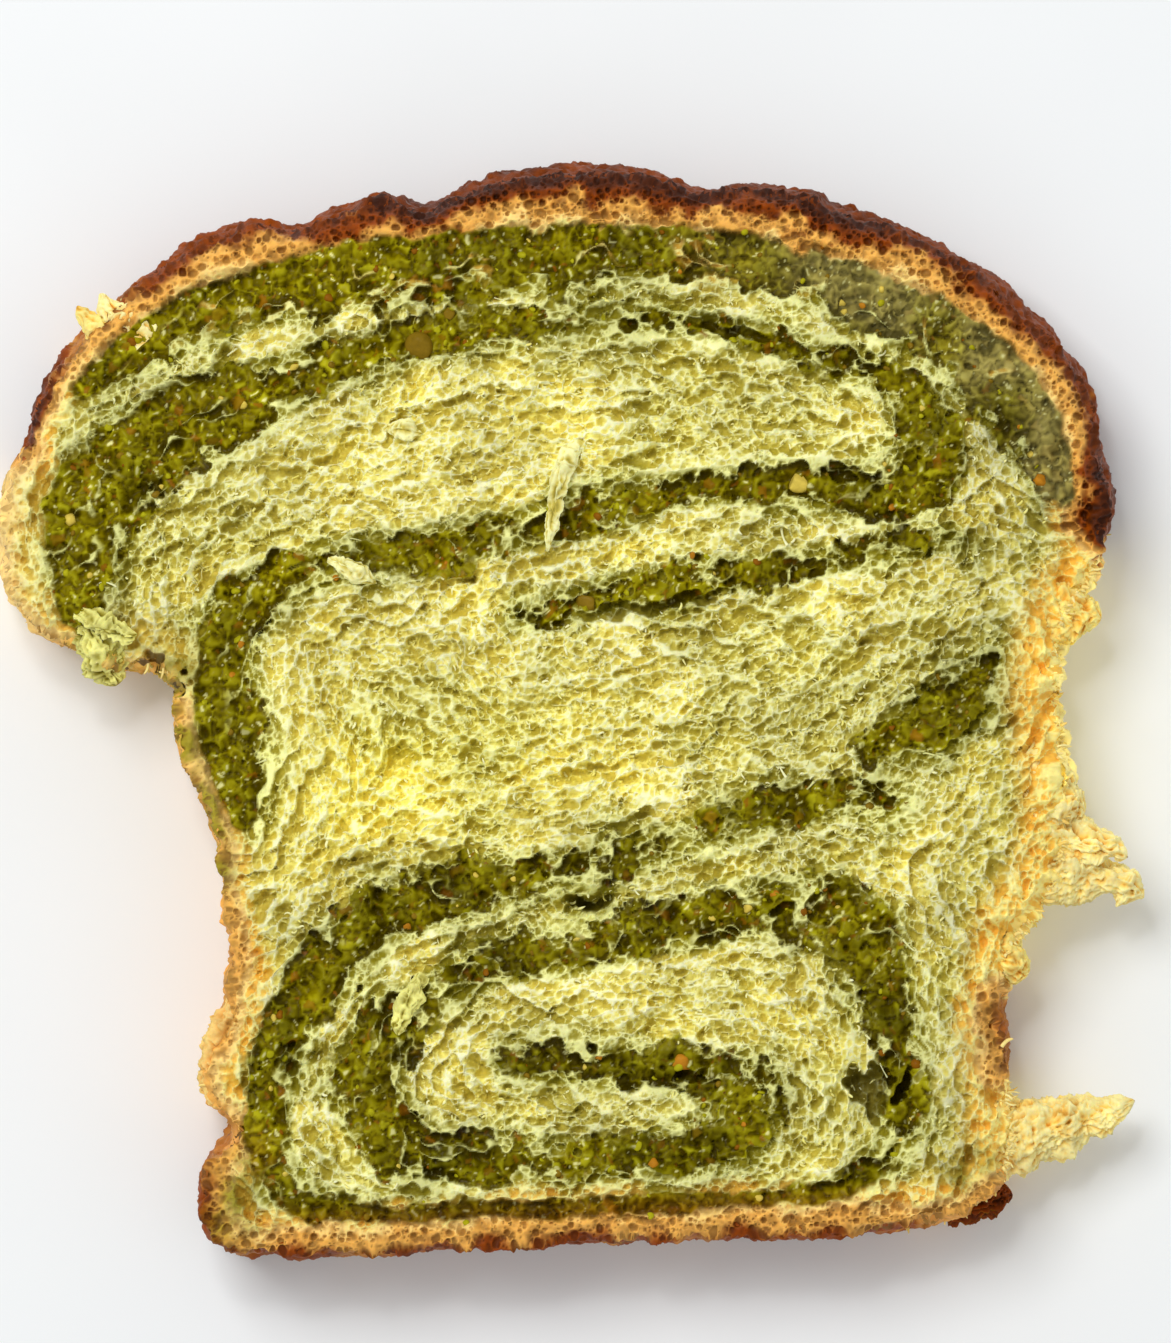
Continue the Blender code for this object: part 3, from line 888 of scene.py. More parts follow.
        # Painted highlight on the tops of grains, stronger on grains picked at random.
        grain = (0.35 + 0.65 * ease(0.55, 0.95, number)) * ease(0.45, 1.05, lit)
        tint = mix(tint, TONES.paste_light, 0.85 * grain)
        tint = mix(tint, TONES.paste_brown, ease(0.07, 0.0, number) * 0.8)
        grey = ease(8, 36, points[:, 0]) * ease(14, 10, self.form.inset.at(points))
        grey *= ease(14, 24, points[:, 1])
        grey = np.clip(grey * (0.8 + 0.6 * Ripple(7, 51).at(points)), 0, 0.85)
        # The grey of the crown's right end is real; its lighter tops and darker gaps are painted
        # highlight and shade.
        tint = mix(tint, TONES.paste_grey * (0.42 + 0.88 * np.clip(lit, 0, 1))[:, None], grey)
        # Painted glints: pale specks on the tops of some grains.
        tint = mix(tint, TONES.painted_glint, ease(0.42, 0.25, near) * (number > 0.88) * 0.85)
        low = ease(7, 3, self.form.inset.at(points)) * ease(-46, -54, points[:, 1])
        # The brown strip near the bottom is real; its darker gaps are painted shade.
        tint = mix(tint, TONES.paste_brown * (0.4 + 0.6 * lit)[:, None], 0.7 * low)
        tone = 1.00 + 0.16 * Ripple(2.2, 52, 2).at(points) + 0.14 * Ripple(7, 56, 2).at(points)
        tone -= 0.14 * ease(-8, -24, points[:, 1])
        tone -= 0.09 * ease(0, 30, points[:, 0]) * ease(-5, 5, points[:, 1])
        tone += 0.10 * ease(-20, -36, points[:, 0])
        return tint * tone[:, None]

    def crumb_tint(self, points: Array, lit: Array) -> Array:
        """Colour of the crumb: painted highlight on walls and ridges, painted shade in pores, green
        next to the filling, yellow in a patch left of the middle.

        Args:
            points: places in the plane.
            lit: how far each stands out, about 0 in pores and 1 on walls.

        Returns:
            A colour for each point.
        """
        # Painted shade in pores and painted highlight on walls and ridges: the tone follows lit.
        tint = mix(TONES.crumb_pore_shade, TONES.crumb_mid, ease(-0.1, 0.5, lit))
        tint = mix(tint, TONES.crumb_pale, ease(0.45, 1.1, lit))
        # The green stain is real; its darker tone in pores is painted shade.
        stained = mix(TONES.stain_pore, TONES.stain_pale, ease(0.0, 0.9, lit))
        clear = self.form.clear.at(points)
        reach = 3.4 + 2.6 * Ripple(6, 53, 2).at(points)
        share = ease(1.0, 0.0, clear / np.maximum(reach, 0.8)) * 0.95
        share = np.maximum(share, 0.45 * ease(-0.1, 0.8, Ripple(11, 55, 2).at(points)))
        tint = mix(tint, stained, np.clip(share, 0, 1))
        middle, spread, gain = (np.array(row) for row in self.yellow_patch)
        yellow = np.exp(-(((points - middle) / spread) ** 2).sum(axis=1))
        tint = mix(tint, tint * gain, yellow)
        right = ease(38, 47, points[:, 0]) * 0.20
        return tint * (1.04 + 0.10 * Ripple(6, 54, 3).at(points) - right)[:, None]

    def pits(self, points: Array, seed: int) -> Array:
        """Round pits of a baked crust in three sizes: in each cell a bowl about its seed, whose
        reach is a random share of the cell.

        Args:
            points: places in the plane or in space.
            seed: picks one of many independent sets.

        Returns:
            Depth of the pits.
        """
        bent = points + 0.12 * Ripple(0.8, seed + 3).push(points)
        depth = np.zeros(len(points))
        for row, (size, deep) in enumerate(self.crust_pits):
            near, _, number = Cells(size, seed + row).at(bent)
            reach = 0.12 + 0.32 * ((number * 7.3) % 1) ** 1.5
            depth = np.maximum(depth, deep * ease(1.0, 0.35, near / reach) * (number > 0.35))
        return depth

    def rind(self, points: Array) -> Array:
        """Relief of the browned band on the cut face: round pits between low swellings."""
        swell = 0.42 * Ripple(1.5, 88, 3).at(points) + 0.30 * Ripple(4.5, 89, 2).at(points)
        return swell - 1.1 * self.pits(points, 70)

    def skin(self, points: Array, torn: Array) -> tuple[Array, Array]:
        """Relief of the outer wall: wrinkled and pitted where baked, open foam where torn.

        Args:
            points: places in space.
            torn: how torn the wall is from 0 to 1.

        Returns:
            Distance outward, and openness from 0 on walls to 1 in pores.
        """
        foam, number = Cells(0.80, 84).bubbles(points)
        foam = foam * (0.2 + 0.8 * number)
        pits = self.pits(points, 80)
        push = 0.40 * Ripple(4.5, 81, 3).at(points) + 0.22 * Ripple(1.1, 82, 3).at(points)
        push += torn * (0.2 + 0.9 * Ripple(3.4, 85, 3).at(points))
        push -= 0.75 * pits + 0.40 * torn * foam
        return push, np.clip(1.05 * pits + 0.5 * torn * foam, 0, 1)

    def smeared(self, points: Array) -> Array:
        """Share of filling smeared over the crumb: for each smear, exp(-distance squared) in its
        own half lengths, wavered by noise.

        Args:
            points: places in the plane.

        Returns:
            Share from 0 to almost 1.
        """
        share = np.zeros(len(points))
        waver = 1 + 0.7 * Ripple(2.6, 63, 3).at(points)
        for row in SMEARS:
            along, across = in_oval(points, row)
            share = np.maximum(share, np.exp(-(along**2 + across**2)))
        return np.clip(share * waver, 0, 0.92)

    def baked(self, tint: Array, points: Array, inset: Array, openness: Array) -> Array:
        """Colour with the browning of the outer wall laid over it.

        Args:
            tint: the crumb's colour.
            points: places in the plane.
            inset: distance in from the outline.
            openness: from 0 on walls to 1 in pores.

        Returns:
            Colours, dark at the skin, then brown, orange and gold towards the crumb.
        """
        level, depth, _, torn = self.form.bake.at(points).T
        waver = 0.16 * Ripple(3.2, 61, 3).at(points)
        # Pores are browned as if nearer the skin: painted shade.
        place = inset / depth + waver - 0.10 * openness
        # Gold is darker in pores: painted shade.
        gold = mix(TONES.gold_pale, TONES.gold_pore_shade, ease(0.15, 0.9, openness))
        warm = np.clip(level * 1.5, 0, 1) * ease(1.75, 1.0, place)
        warm = np.maximum(warm, torn * ease(7.5, 3.0, inset + 1.5 * waver))
        tint = mix(tint, gold, np.clip(warm, 0, 1))
        heat = level * (1.16 - 0.95 * np.clip(place, 0, 1.3)) * (1 - 0.75 * torn)
        for tone, start, full, in_pore, by_waver in self.browning:
            there = heat + in_pore * openness + by_waver * waver
            tint = mix(tint, getattr(TONES, tone), ease(start, full, there))
        # Smeared filling is real; it turns darker in pores as painted shade.
        smear = self.smeared(points) * (1 - 0.35 * openness)
        tint = mix(tint, mix(TONES.paste_mid, TONES.stain_pore, ease(0.9, 0.2, openness)), smear)
        # glow is painted light: painted highlight on baked walls, painted shade in pores, and painted
        # light on the torn wall near the edge.
        glow = ease(0.1, 0.4, heat) * (0.30 - 0.75 * openness) + 0.16 * torn * ease(6, 2, inset)
        return tint * (1 + glow)[:, None]


@dataclass
class CutFace:
    """One cut face of the slice as a height surface, with the runs of filling set apart.

    The grid goes on past the outline by the skirt. The relief's tops level off towards the crest.
    A point is lit by how far it stands out from its neighbours, over a fine and a broad width: its
    colour gets painted shade in pores and gaps and painted highlight on walls and tops.
    The heights are kept for the wall, which starts from them.
    """

    bread: Bread
    step: float = 0.165
    underside: bool = False
    skirt: float = 0.6
    crest: float = 1.5
    lit_level: float = 0.60
    fine_width: float = 0.34
    fine_gain: float = 0.48
    fine_range: float = 0.22
    broad_width: float = 1.1
    broad_gain: float = 0.28
    broad_range: float = 0.65
    thinning: float = 0.09
    most_pull: float = 0.11
    heights: PlaneField | None = None

    def build(self) -> dict[str, Surface]:
        """Lays the grid, raises it, colours it by how far each point stands out from its
        neighbours, and sorts its quads.

        Returns:
            The crumb's surface under "crumb" and each run's under its node name.
        """
        form = self.bread.form
        points, shape = plane_points(form.low + 1.5, form.high - 1.5, self.step)
        inset = form.inset.at(points)
        inside = inset > -self.skirt
        here = points[inside]
        full, height, pasty, number, near = np.zeros((5, len(points)))
        full[inside], height[inside], pasty[inside], number[inside], near[inside] = self._raise(
            here, inset[inside]
        )
        widths = (self.fine_width, self.broad_width)
        fine, broad = (self._stands_out(full, inside, shape, width) for width in widths)
        # lit sets the painted shade and painted highlight in the colour.
        lit = self.lit_level + self.fine_gain * np.tanh(fine / self.fine_range)
        lit = lit + self.broad_gain * np.tanh(broad / self.broad_range)
        tint = np.zeros((len(points), 3))
        wet = np.zeros(len(points))
        tint[inside], wet[inside] = self._colour(
            here, inset[inside], pasty[inside], number[inside], near[inside], lit[inside]
        )
        height -= self._fall(points, inset)
        self.heights = PlaneField(points[0], self.step, height.reshape(shape))
        places = np.column_stack([points, height])
        places = self._pulled(places, fine, inset, shape)
        if self.underside:
            places[:, 2] = np.clip(0.35 - 0.5 * (height - THICKNESS), 0, 1.6)
        surface = Surface(places, sheet_quads(*shape), tint, wet)
        if self.underside:
            surface.quads = surface.quads[:, ::-1]
        return self._sorted(surface, points, inset)

    def _stands_out(
        self, height: Array, inside: Array, shape: tuple[int, int], width: float
    ) -> Array:
        """Height less its average round about, over the points inside only.

        Args:
            height: height of each point of the grid.
            inside: which points are on the slice.
            shape: the grid's shape.
            width: spread of the bell curve that the average is taken by.

        Returns:
            How far each point stands out.
        """
        held = blur(np.where(inside, height, 0).reshape(shape), width / self.step)
        weight = blur(inside.astype(float).reshape(shape), width / self.step)
        return height - (held / np.maximum(weight, 0.05)).ravel()

    def _raise(self, points: Array, inset: Array) -> tuple[Array, ...]:
        """Heights before the rim falls off, and what of the surface is filling.

        Args:
            points: places in the plane.
            inset: distance in from the outline.

        Returns:
            Height in full, height as it is built with less relief at the rim and on the tops,
            share of filling, and the number of its grains and the distance from their middles.
        """
        bread, form = self.bread, self.bread.form
        clear = form.clear.at(points)
        _, depth, _, torn = form.bake.at(points).T
        crumb = bread.crumb(points)
        # The porous crust takes over towards the outline.
        crusty = ease(1.15, 0.55, inset / depth + 0.2 * Ripple(3.0, 79, 2).at(points))
        crumb += (bread.rind(points) - crumb) * crusty * ease(0.7, 0.3, torn)
        paste, number, near = bread.paste(points)
        # The filling's edge wavers, and crumb that stands high covers it.
        rough = 0.3 + 0.7 * ease(5, 9, inset)
        edge = clear + 0.8 * rough * Ripple(2.0, 71, 3).at(points)
        edge += 0.50 * rough * np.clip(crumb + 0.4, -1.5, 1.5)
        edge += 0.9 * rough * Ripple(5.5, 76, 2).at(points)
        veil = bread.veils(points) * ease(5, 8, inset)
        pasty = ease(0.30, -0.30, edge) * (1 - 0.9 * veil)
        lip = 0.45 * np.exp(-(((clear - 0.9) / 0.8) ** 2))
        relief = (crumb + lip) * (1 - pasty) + paste * pasty + 0.5 * veil * ease(1.5, 0.0, clear)
        # The face falls away towards the torn side.
        slope = torn * ease(6.0, 0.0, inset + 0.9 * Ripple(4.0, 73, 2).at(points))
        base = form.top.at(points) - self._hole_depth(points)
        base -= slope * (2.6 + 1.6 * Ripple(3.2, 74, 3).at(points))
        held = relief * (0.35 + 0.65 * ease(0.3, 2.8, inset))
        held = np.where(held > 0, self.crest * np.tanh(held / self.crest), held)
        return base + relief, base + held, pasty, number, near

    def _fall(self, points: Array, inset: Array) -> Array:
        """How far the rim falls off: a quarter round of the rim's radius, and a slope past it.

        Args:
            points: places in the plane.
            inset: distance in from the outline.

        Returns:
            Depth to take off at each point.
        """
        rim = self.bread.form.bake.at(points)[:, 2]
        inward = np.clip(rim - inset, 0, rim)
        drop = rim - np.sqrt(np.clip(rim**2 - inward**2, 0, None))
        return drop + np.clip(0.1 - inset, 0, 0.7) * 1.5

    def _colour(self, points: Array, inset: Array, pasty: Array, number: Array, near: Array,
                lit: Array) -> tuple[Array, Array]:
        """Colour and wetness at points of the face.

        Args:
            points: places in the plane.
            inset: distance in from the outline.
            pasty: share of filling.
            number, near: the number of a grain of filling and the distance from its middle.
            lit: how far each point stands out, about 0 in pores and 1 on walls.

        Returns:
            A colour and a wetness for each point.
        """
        bread = self.bread
        tint = bread.crumb_tint(points, lit)
        tint = bread.baked(tint, points, inset, np.clip(1.05 - lit, 0, 1))
        tint = mix(tint, bread.paste_tint(points, lit, number, near), pasty)
        # Painted shade in deep holes and cracks: their colour goes towards the filling's gap shade.
        holes = self._hole_depth(points)
        tint = mix(tint, 0.9 * TONES.paste_gap_shade, 0.7 * ease(0.3, 3.0, holes))
        return tint, np.clip(pasty * (0.5 + 0.5 * number) + 0.15, 0, 1)

    def _hole_depth(self, points: Array) -> Array:
        """Extra depth of the deep holes and cracks: for each, depth times one less the squared
        distance in its own half lengths, to the power 0.6.

        Args:
            points: places in the plane.

        Returns:
            Depth of the deepest hole at each point.
        """
        depth = np.zeros(len(points))
        wave = 0.5 * Ripple(1.6, 75, 2).at(points)
        warp = 0.9 * Ripple(2.2, 77, 3).push(points)
        for *oval, deep in HOLES:
            width = oval[3]
            along, across = in_oval(points + warp * min(1.0, 0.7 * width), oval)
            bowl = np.clip(1 - along**2 - (across + 0.35 * wave) ** 2 + 0.25 * wave, 0, 1) ** 0.6
            depth = np.maximum(depth, deep * bowl)
        return depth

    def _pulled(self, places: Array, fine: Array, inset: Array, shape: tuple[int, int]) -> Array:
        """Points drawn sideways up the slope of the relief, which thins the walls of the pores,
        and near the edge pushed outward with the skin of the wall.

        Args:
            places: points in space.
            fine: how far each stands out from its neighbours.
            inset: distance in from the outline.
            shape: the grid's shape.

        Returns:
            The moved points.
        """
        form = self.bread.form
        rise, run = np.gradient(blur(fine.reshape(shape), 0.12 / self.step), self.step)
        pull = np.stack([run, rise], axis=-1).reshape(-1, 2)
        places[:, :2] += np.clip(self.thinning * pull, -self.most_pull, self.most_pull)
        band = (inset > -self.skirt) & (inset < 2.0)
        rim = places[band]
        push, _ = self.bread.skin(rim, form.bake.at(rim[:, :2])[:, 3])
        rim[:, :2] += form.outward(rim[:, :2]) * (push * ease(2.0, 0.2, inset[band]))[:, None]
        places[band] = rim
        return places

    def _sorted(self, surface: Surface, points: Array, inset: Array) -> dict[str, Surface]:
        """Quads of the crumb and of each run of filling, as surfaces of their own.

        Args:
            surface: the whole face.
            points: the grid's points, before they were moved.
            inset: distance in from the outline.

        Returns:
            The crumb's surface under "crumb" and each run's under its node name.
        """
        form = self.bread.form
        centre = points[surface.quads].mean(axis=1)
        keep = inset[surface.quads].min(axis=1) > 0.02
        wander = 0.5 * Ripple(2.0, 71, 3).at(centre)
        runs = {name: run.at(centre) + wander for name, run in form.runs.items()}
        nearest = np.min(list(runs.values()), axis=0)
        found = {"crumb": surface.part(keep & (nearest >= 0))}
        for name, away in runs.items():
            found[name] = surface.part(keep & (away < 0) & (away <= nearest))
        return found


# Smears of filling at the notch and along the left wall: x, y, half length, half width and turn
# in degrees.
SMEARS = (
    (-51.0, 5.5, 7.5, 3.2, -12), (-45.0, -3.0, 6.0, 2.4, -62), (-42.0, -13.0, 7.0, 1.6, -78),
    (-39.0, -56.0, 5.0, 2.2, 80), (45.5, -52.0, 3.0, 2.0, 30),
)

# Deep holes and cracks of the cut face: x, y, half length, half width, turn in degrees, depth.
HOLES = (
    (33.9, -43.5, 3.8, 1.9, -66, 4.2), (1.7, -22.2, 3.3, 1.1, 6, 2.8),
    (13.2, -42.3, 2.2, 0.9, 10, 2.5), (17.5, 44.2, 5.0, 0.7, -12, 2.2),
    (-48.6, 4.8, 3.6, 1.8, -20, 6.0),
    (8.6, 12.2, 12.0, 0.7, 9, 2.2), (38.0, -42.9, 2.0, 0.9, 80, 3.0),
    (-32.8, -40.0, 1.6, 1.2, 20, 2.6), (8.6, 7.1, 0.7, 0.6, 0, 1.4),
    (-40.5, -48.6, 2.6, 1.6, 40, 3.0), (24.2, -23.0, 1.8, 0.6, 10, 1.8),
    (-20.0, -38.5, 1.5, 0.7, 50, 1.8), (30.0, 27.5, 3.0, 0.5, -12, 1.6),
)


@dataclass
class CrustWall:
    """The outer wall: a profile carried round the outline, from under the rim of the cut face
    down to under the rim of the hidden one.

    Shares are of the way down the profile: tucked under the face up to tucked_end, then turning
    over the rim to turn_end, straight for side_share, and from foot_start the same turned over.
    """

    bread: Bread
    heights: PlaneField
    levels: int = 46
    bulge: float = 0.55
    tuck: float = 1.0
    tucked_end: float = 0.06
    turn_share: float = 0.12
    turn_end: float = 0.18
    side_share: float = 0.64
    foot_start: float = 0.82
    rim_inset: float = 0.12

    def build(self) -> Surface:
        """Points of the wall for each place round the outline and each step down the profile.

        The profile starts tucked in just under the cut face, follows it out over the rim, runs
        straight down with a slight bulge on the crown, and ends in a quarter round.

        Returns:
            The wall as a closed band of quads.
        """
        form = self.bread.form
        loop = form.outline
        outward = form.outward(loop)
        level, _, rim, torn = form.bake.at(loop).T
        down = np.linspace(0, 1, self.levels)[:, None]
        way = np.minimum(down, 1 - down)
        hidden = 1 - np.clip(way / self.tucked_end, 0, 1)
        turn = np.clip((way - self.tucked_end) / self.turn_share, 0, 1)
        inset = self.rim_inset * (1 - turn) ** 2 + self.tuck * hidden
        inset = np.repeat(inset, len(loop), axis=1)
        inward = np.clip(rim[None] - inset, 0, None)
        drop = rim[None] - np.sqrt(np.clip(rim[None] ** 2 - inward**2, 0, None))
        drop = np.where(turn > 0, drop + (rim[None] - drop) * turn, drop) + 1.3 * hidden
        plane = loop[None] - outward[None] * inset[..., None]
        over = self.heights.at(plane.reshape(-1, 2)).reshape(inset.shape)
        over = over - 0.08 - 0.25 * hidden - 0.7 * turn
        share = np.clip((down - self.turn_end) / self.side_share, 0, 1)
        top = over[np.searchsorted(down[:, 0], self.turn_end)][None]
        straight = top * (1 - share) + rim[None] * share
        height = np.where(down > self.foot_start, drop, straight)
        height = np.where(down < self.turn_end, over, height)
        crown = ease(16, 28, loop[:, 1])[None]
        plane += outward[None] * (self.bulge * crown * np.sin(math.pi * share) ** 0.8)[..., None]
        points = np.concatenate([plane, height[..., None]], axis=2).reshape(-1, 3)
        spread = [np.broadcast_to(row[None], inset.shape).ravel() for row in (level, torn)]
        facing = np.repeat(outward[None], self.levels, axis=0).reshape(-1, 2)
        return self._dressed(points, facing, *spread, inset.shape)

    def _dressed(self, points: Array, facing: Array, level: Array, torn: Array,
                 shape: tuple[int, int]) -> Surface:
        """Relief and colour of the wall.

        Args:
            points: the smooth wall's points, row by row down the profile.
            facing: unit vectors outward in the plane.
            level, torn: how baked and how torn the wall is.
            shape: levels of the profile and places round the outline.

        Returns:
            The wall as a closed band of quads.
        """
        push, openness = self.bread.skin(points, torn)
        points[:, :2] += facing * (push * (0.4 + 0.6 * ease(0.0, 1.5, points[:, 2])))[:, None]
        # Pits and pores of the wall are darker: painted shade.
        crumb = mix(TONES.crumb_pale, TONES.crumb_pore_shade, ease(0.1, 0.9, openness))
        wander = points[:, :2] + 2.6 * Ripple(5.0, 97, 3).push(points, axes=2)
        tint = self.bread.baked(crumb, wander, 0.35 * openness, openness)
        # Brown laid evenly over the baked wall, darker in pits as painted shade.
        even = (0.55 + 0.25 * Ripple(4.5, 98, 3).at(points)) * ease(0.5, 0.8, level) * (1 - torn)
        tint = mix(tint, TONES.crust_brown * (1.15 - 0.4 * openness)[:, None], np.clip(even, 0, 1))
        # Painted light: the torn wall is made lighter against its shade.
        tint *= (1 + 0.22 * torn)[:, None]
        freckle = 1 + 0.18 * Ripple(2.0, 86, 3).at(points) + 0.10 * Ripple(0.6, 87).at(points)
        wet = np.clip(level - 0.55, 0, 1) * 0.7 * (1 - torn)
        return Surface(points, sheet_quads(*shape, closed=True), tint * freckle[:, None], wet)


@dataclass
class TornTuft:
    """A finger of torn bread: a tube along its rows, swollen and pitted by bubbles.

    A row is x, y, z and radius. The tube is flat times as high as it is wide.
    """

    name: str
    rows: Rows
    tear: Tear = Tear.CREAM
    flat: float = 0.8
    around: int = 120
    step: float = 0.13
    fewest: int = 12
    bubble: float = 1.15
    pore: float = 0.62
    full_relief: float = 1.6

    def build(self) -> Surface:
        """Points for each place along the tuft and each turn round it.

        The centre line is a smooth cubic through the rows. The radius is the row's, times one
        plus waves, less the depth of the bubbles, and goes to nothing at both ends.

        Returns:
            The tuft's skin.
        """
        rows = np.array(self.rows)
        rows[:, :2] += MEASURE_SHIFT
        length = np.linalg.norm(np.diff(rows[:, :3], axis=0), axis=1).sum()
        count = max(self.fewest, int(length / self.step))
        line = smooth_rows(rows, count)
        ahead = unit(np.gradient(line[:, :3], axis=0))
        side = unit(np.cross(ahead, np.array([0.0, 0.0, 1.0])))
        ring = rings(side, np.cross(side, ahead), self.around, self.flat)
        round_off = np.sqrt(np.clip(1 - np.linspace(-0.2, 1, count) ** 8, 0, 1))
        radius = line[:, 3] * round_off
        skin = (line[:, None, :3] + ring * radius[:, None, None]).reshape(-1, 3)
        out = unit(ring).reshape(-1, 3)
        bent = skin + 0.35 * Ripple(1.4, 110, 2).push(skin)
        pore, number = Cells(self.bubble, 91).bubbles(bent, 0.05, 0.55)
        pore = pore * (0.1 + 0.9 * number)
        fine, number = Cells(self.pore, 92).bubbles(bent, 0.05, 0.6)
        fine = fine * (0.1 + 0.9 * number)
        share = np.clip(np.repeat(radius, self.around) / self.full_relief, 0.15, 1)
        turn = np.linspace(0, 2 * math.pi, self.around, endpoint=False)
        place = np.linspace(0, length, count)[:, None] + 0 * turn
        local = np.stack([0.16 * place, np.cos(turn) * line[:, 3:], np.sin(turn) * line[:, 3:]], -1)
        bend = 0.4 * Ripple(2.5, 96, 2).at(skin)[:, None]
        fibres = 1 - 2 * np.abs(Ripple(0.55, 93, 2).at(local.reshape(-1, 3) + bend))
        push = 0.65 * Ripple(2.2, 94, 3).at(skin) + 0.24 * fibres - 0.55 * pore - 0.42 * fine
        push = (push + 0.25) * share
        points = skin + out * push[:, None]
        openness = np.clip(0.22 + 0.5 * pore + 0.5 * fine - 0.25 * fibres, 0, 1)
        pale, deep = (getattr(TONES, tone) for tone in self.tear.value)
        # Painted shade in pores and, deeper, in pits.
        tint = mix(pale, deep, ease(0.05, 0.8, openness))
        pit_shade = TONES.tuft_pit_shade if self.tear in (Tear.CREAM, Tear.GOLD) else deep * 0.5
        tint = mix(tint, pit_shade, 0.8 * ease(0.6, 1.0, openness))
        tint *= (1.08 + 0.1 * Ripple(2.5, 95, 2).at(points))[:, None]
        quads = sheet_quads(count, self.around, closed=True)
        return Surface(points, quads, tint, np.full(len(points), 0.1))


def smooth_rows(rows: Array, count: int) -> Array:
    """A smooth cubic through rows of numbers: a Catmull-Rom spline, whose slope at a row is half
    the step between its neighbours.

    Args:
        rows: the numbers to pass through.
        count: how many rows to give, at even shares of the way.

    Returns:
        The new rows.
    """
    padded = np.vstack([2 * rows[0] - rows[1], rows, 2 * rows[-1] - rows[-2]])
    at = np.linspace(0, len(rows) - 1.0001, count)
    span = at.astype(int)
    t = (at - span)[:, None]
    a, b, c, d = (padded[span + i] for i in range(4))
    return 0.5 * (2 * b + (c - a) * t + (2 * a - 5 * b + 4 * c - d) * t**2
                  + (3 * b - a - 3 * c + d) * t**3)


TUFTS = (
    TornTuft("tuft_long", ((48.5, -16.6, 11.0, 4.6), (54.0, -17.6, 11.0, 4.4),
                           (59.0, -18.4, 10.8, 2.7), (63.0, -19.7, 10.6, 1.9),
                           (65.8, -21.5, 10.2, 1.0))),
    TornTuft("tuft_fork", ((52.0, -13.6, 12.6, 3.6), (57.5, -15.0, 12.8, 2.6),
                           (61.0, -15.8, 12.6, 1.8), (63.8, -16.8, 12.4, 0.8))),
    TornTuft("tuft_shoulder", ((50.5, -7.0, 13.0, 4.2), (55.5, -10.4, 13.2, 3.2),
                               (58.8, -11.8, 13.0, 1.3))),
    TornTuft("tuft_crown_end", ((54.0, 11.6, 12.0, 3.4), (58.2, 11.4, 12.0, 2.4),
                                (60.8, 10.8, 12.0, 1.0)), tear=Tear.GOLD),
    TornTuft("tuft_foot", ((43.5, -50.9, 10.0, 4.6), (49.5, -49.6, 9.4, 4.4),
                           (55.5, -48.1, 8.8, 3.3), (60.5, -46.7, 8.6, 2.0),
                           (64.8, -45.0, 8.6, 0.7))),
    TornTuft("tuft_waist", ((48.0, -27.2, 12.0, 3.0), (50.8, -29.4, 11.4, 2.0),
                            (52.2, -30.6, 11.0, 0.9)), tear=Tear.GOLD),
    TornTuft("crust_tab", ((43.0, -57.0, 5.2, 2.4), (47.8, -56.5, 5.0, 2.1),
                           (50.8, -56.1, 4.8, 0.9)), tear=Tear.CRUST, flat=0.5),
    TornTuft("tuft_notch", ((-56.4, 10.8, 15.4, 1.6), (-55.4, 8.4, 15.8, 2.8),
                            (-54.0, 5.6, 14.8, 2.4), (-53.0, 3.0, 13.2, 0.9)),
             tear=Tear.GREEN, flat=0.30),
    TornTuft("flap_notch", ((-57.4, 11.6, 16.8, 0.9), (-54.6, 9.6, 17.6, 1.3),
                            (-52.0, 8.8, 17.4, 1.1), (-50.4, 8.9, 17.0, 0.5)),
             tear=Tear.GREEN, flat=0.35),
    TornTuft("tuft_crown_left", ((-49.4, 42.4, 16.2, 1.9), (-51.6, 44.8, 16.0, 1.8),
                                 (-53.4, 46.6, 15.4, 1.2), (-54.8, 48.2, 14.8, 0.4)), flat=0.6),
    TornTuft("tuft_crown_side", ((-51.4, 41.6, 15.6, 1.6), (-54.0, 43.4, 15.4, 1.4),
                                 (-56.0, 45.0, 15.0, 0.9), (-57.4, 46.8, 14.6, 0.4)),
             tear=Tear.GOLD, flat=0.6),
    TornTuft("flap_crust", ((-38.4, -31.6, 15.6, 0.9), (-39.7, -35.6, 15.8, 1.6),
                            (-40.8, -39.8, 15.6, 1.9), (-41.4, -43.6, 15.2, 1.6),
                            (-40.8, -45.9, 14.8, 0.6)), tear=Tear.RIND, flat=0.5),
    TornTuft("hanging_strand", ((0.6, 31.2, 18.4, 0.4), (-1.2, 28.4, 19.2, 0.9),
                                (-2.2, 24.6, 19.5, 0.8), (-2.8, 20.8, 19.5, 0.65),
                                (-3.2, 18.4, 19.2, 0.25)), tear=Tear.CRUMB, flat=0.4),
    TornTuft("flake_seam", ((-28.4, 17.6, 18.8, 0.4), (-26.6, 17.0, 19.3, 1.1),
                            (-24.6, 15.8, 19.3, 0.9), (-22.8, 14.8, 18.8, 0.3)),
             tear=Tear.CRUMB, flat=0.4),
    TornTuft("flake_crown", ((-21.6, 32.8, 18.9, 0.4), (-19.6, 32.4, 19.4, 1.1),
                             (-17.6, 32.0, 18.9, 0.4)), tear=Tear.CRUMB, flat=0.4),
    TornTuft("flake_roll", ((-17.4, -30.2, 18.6, 0.5), (-18.9, -32.4, 19.0, 1.2),
                            (-20.0, -35.4, 18.8, 1.0), (-20.4, -37.2, 18.4, 0.4)),
             tear=Tear.GREEN, flat=0.4),
)


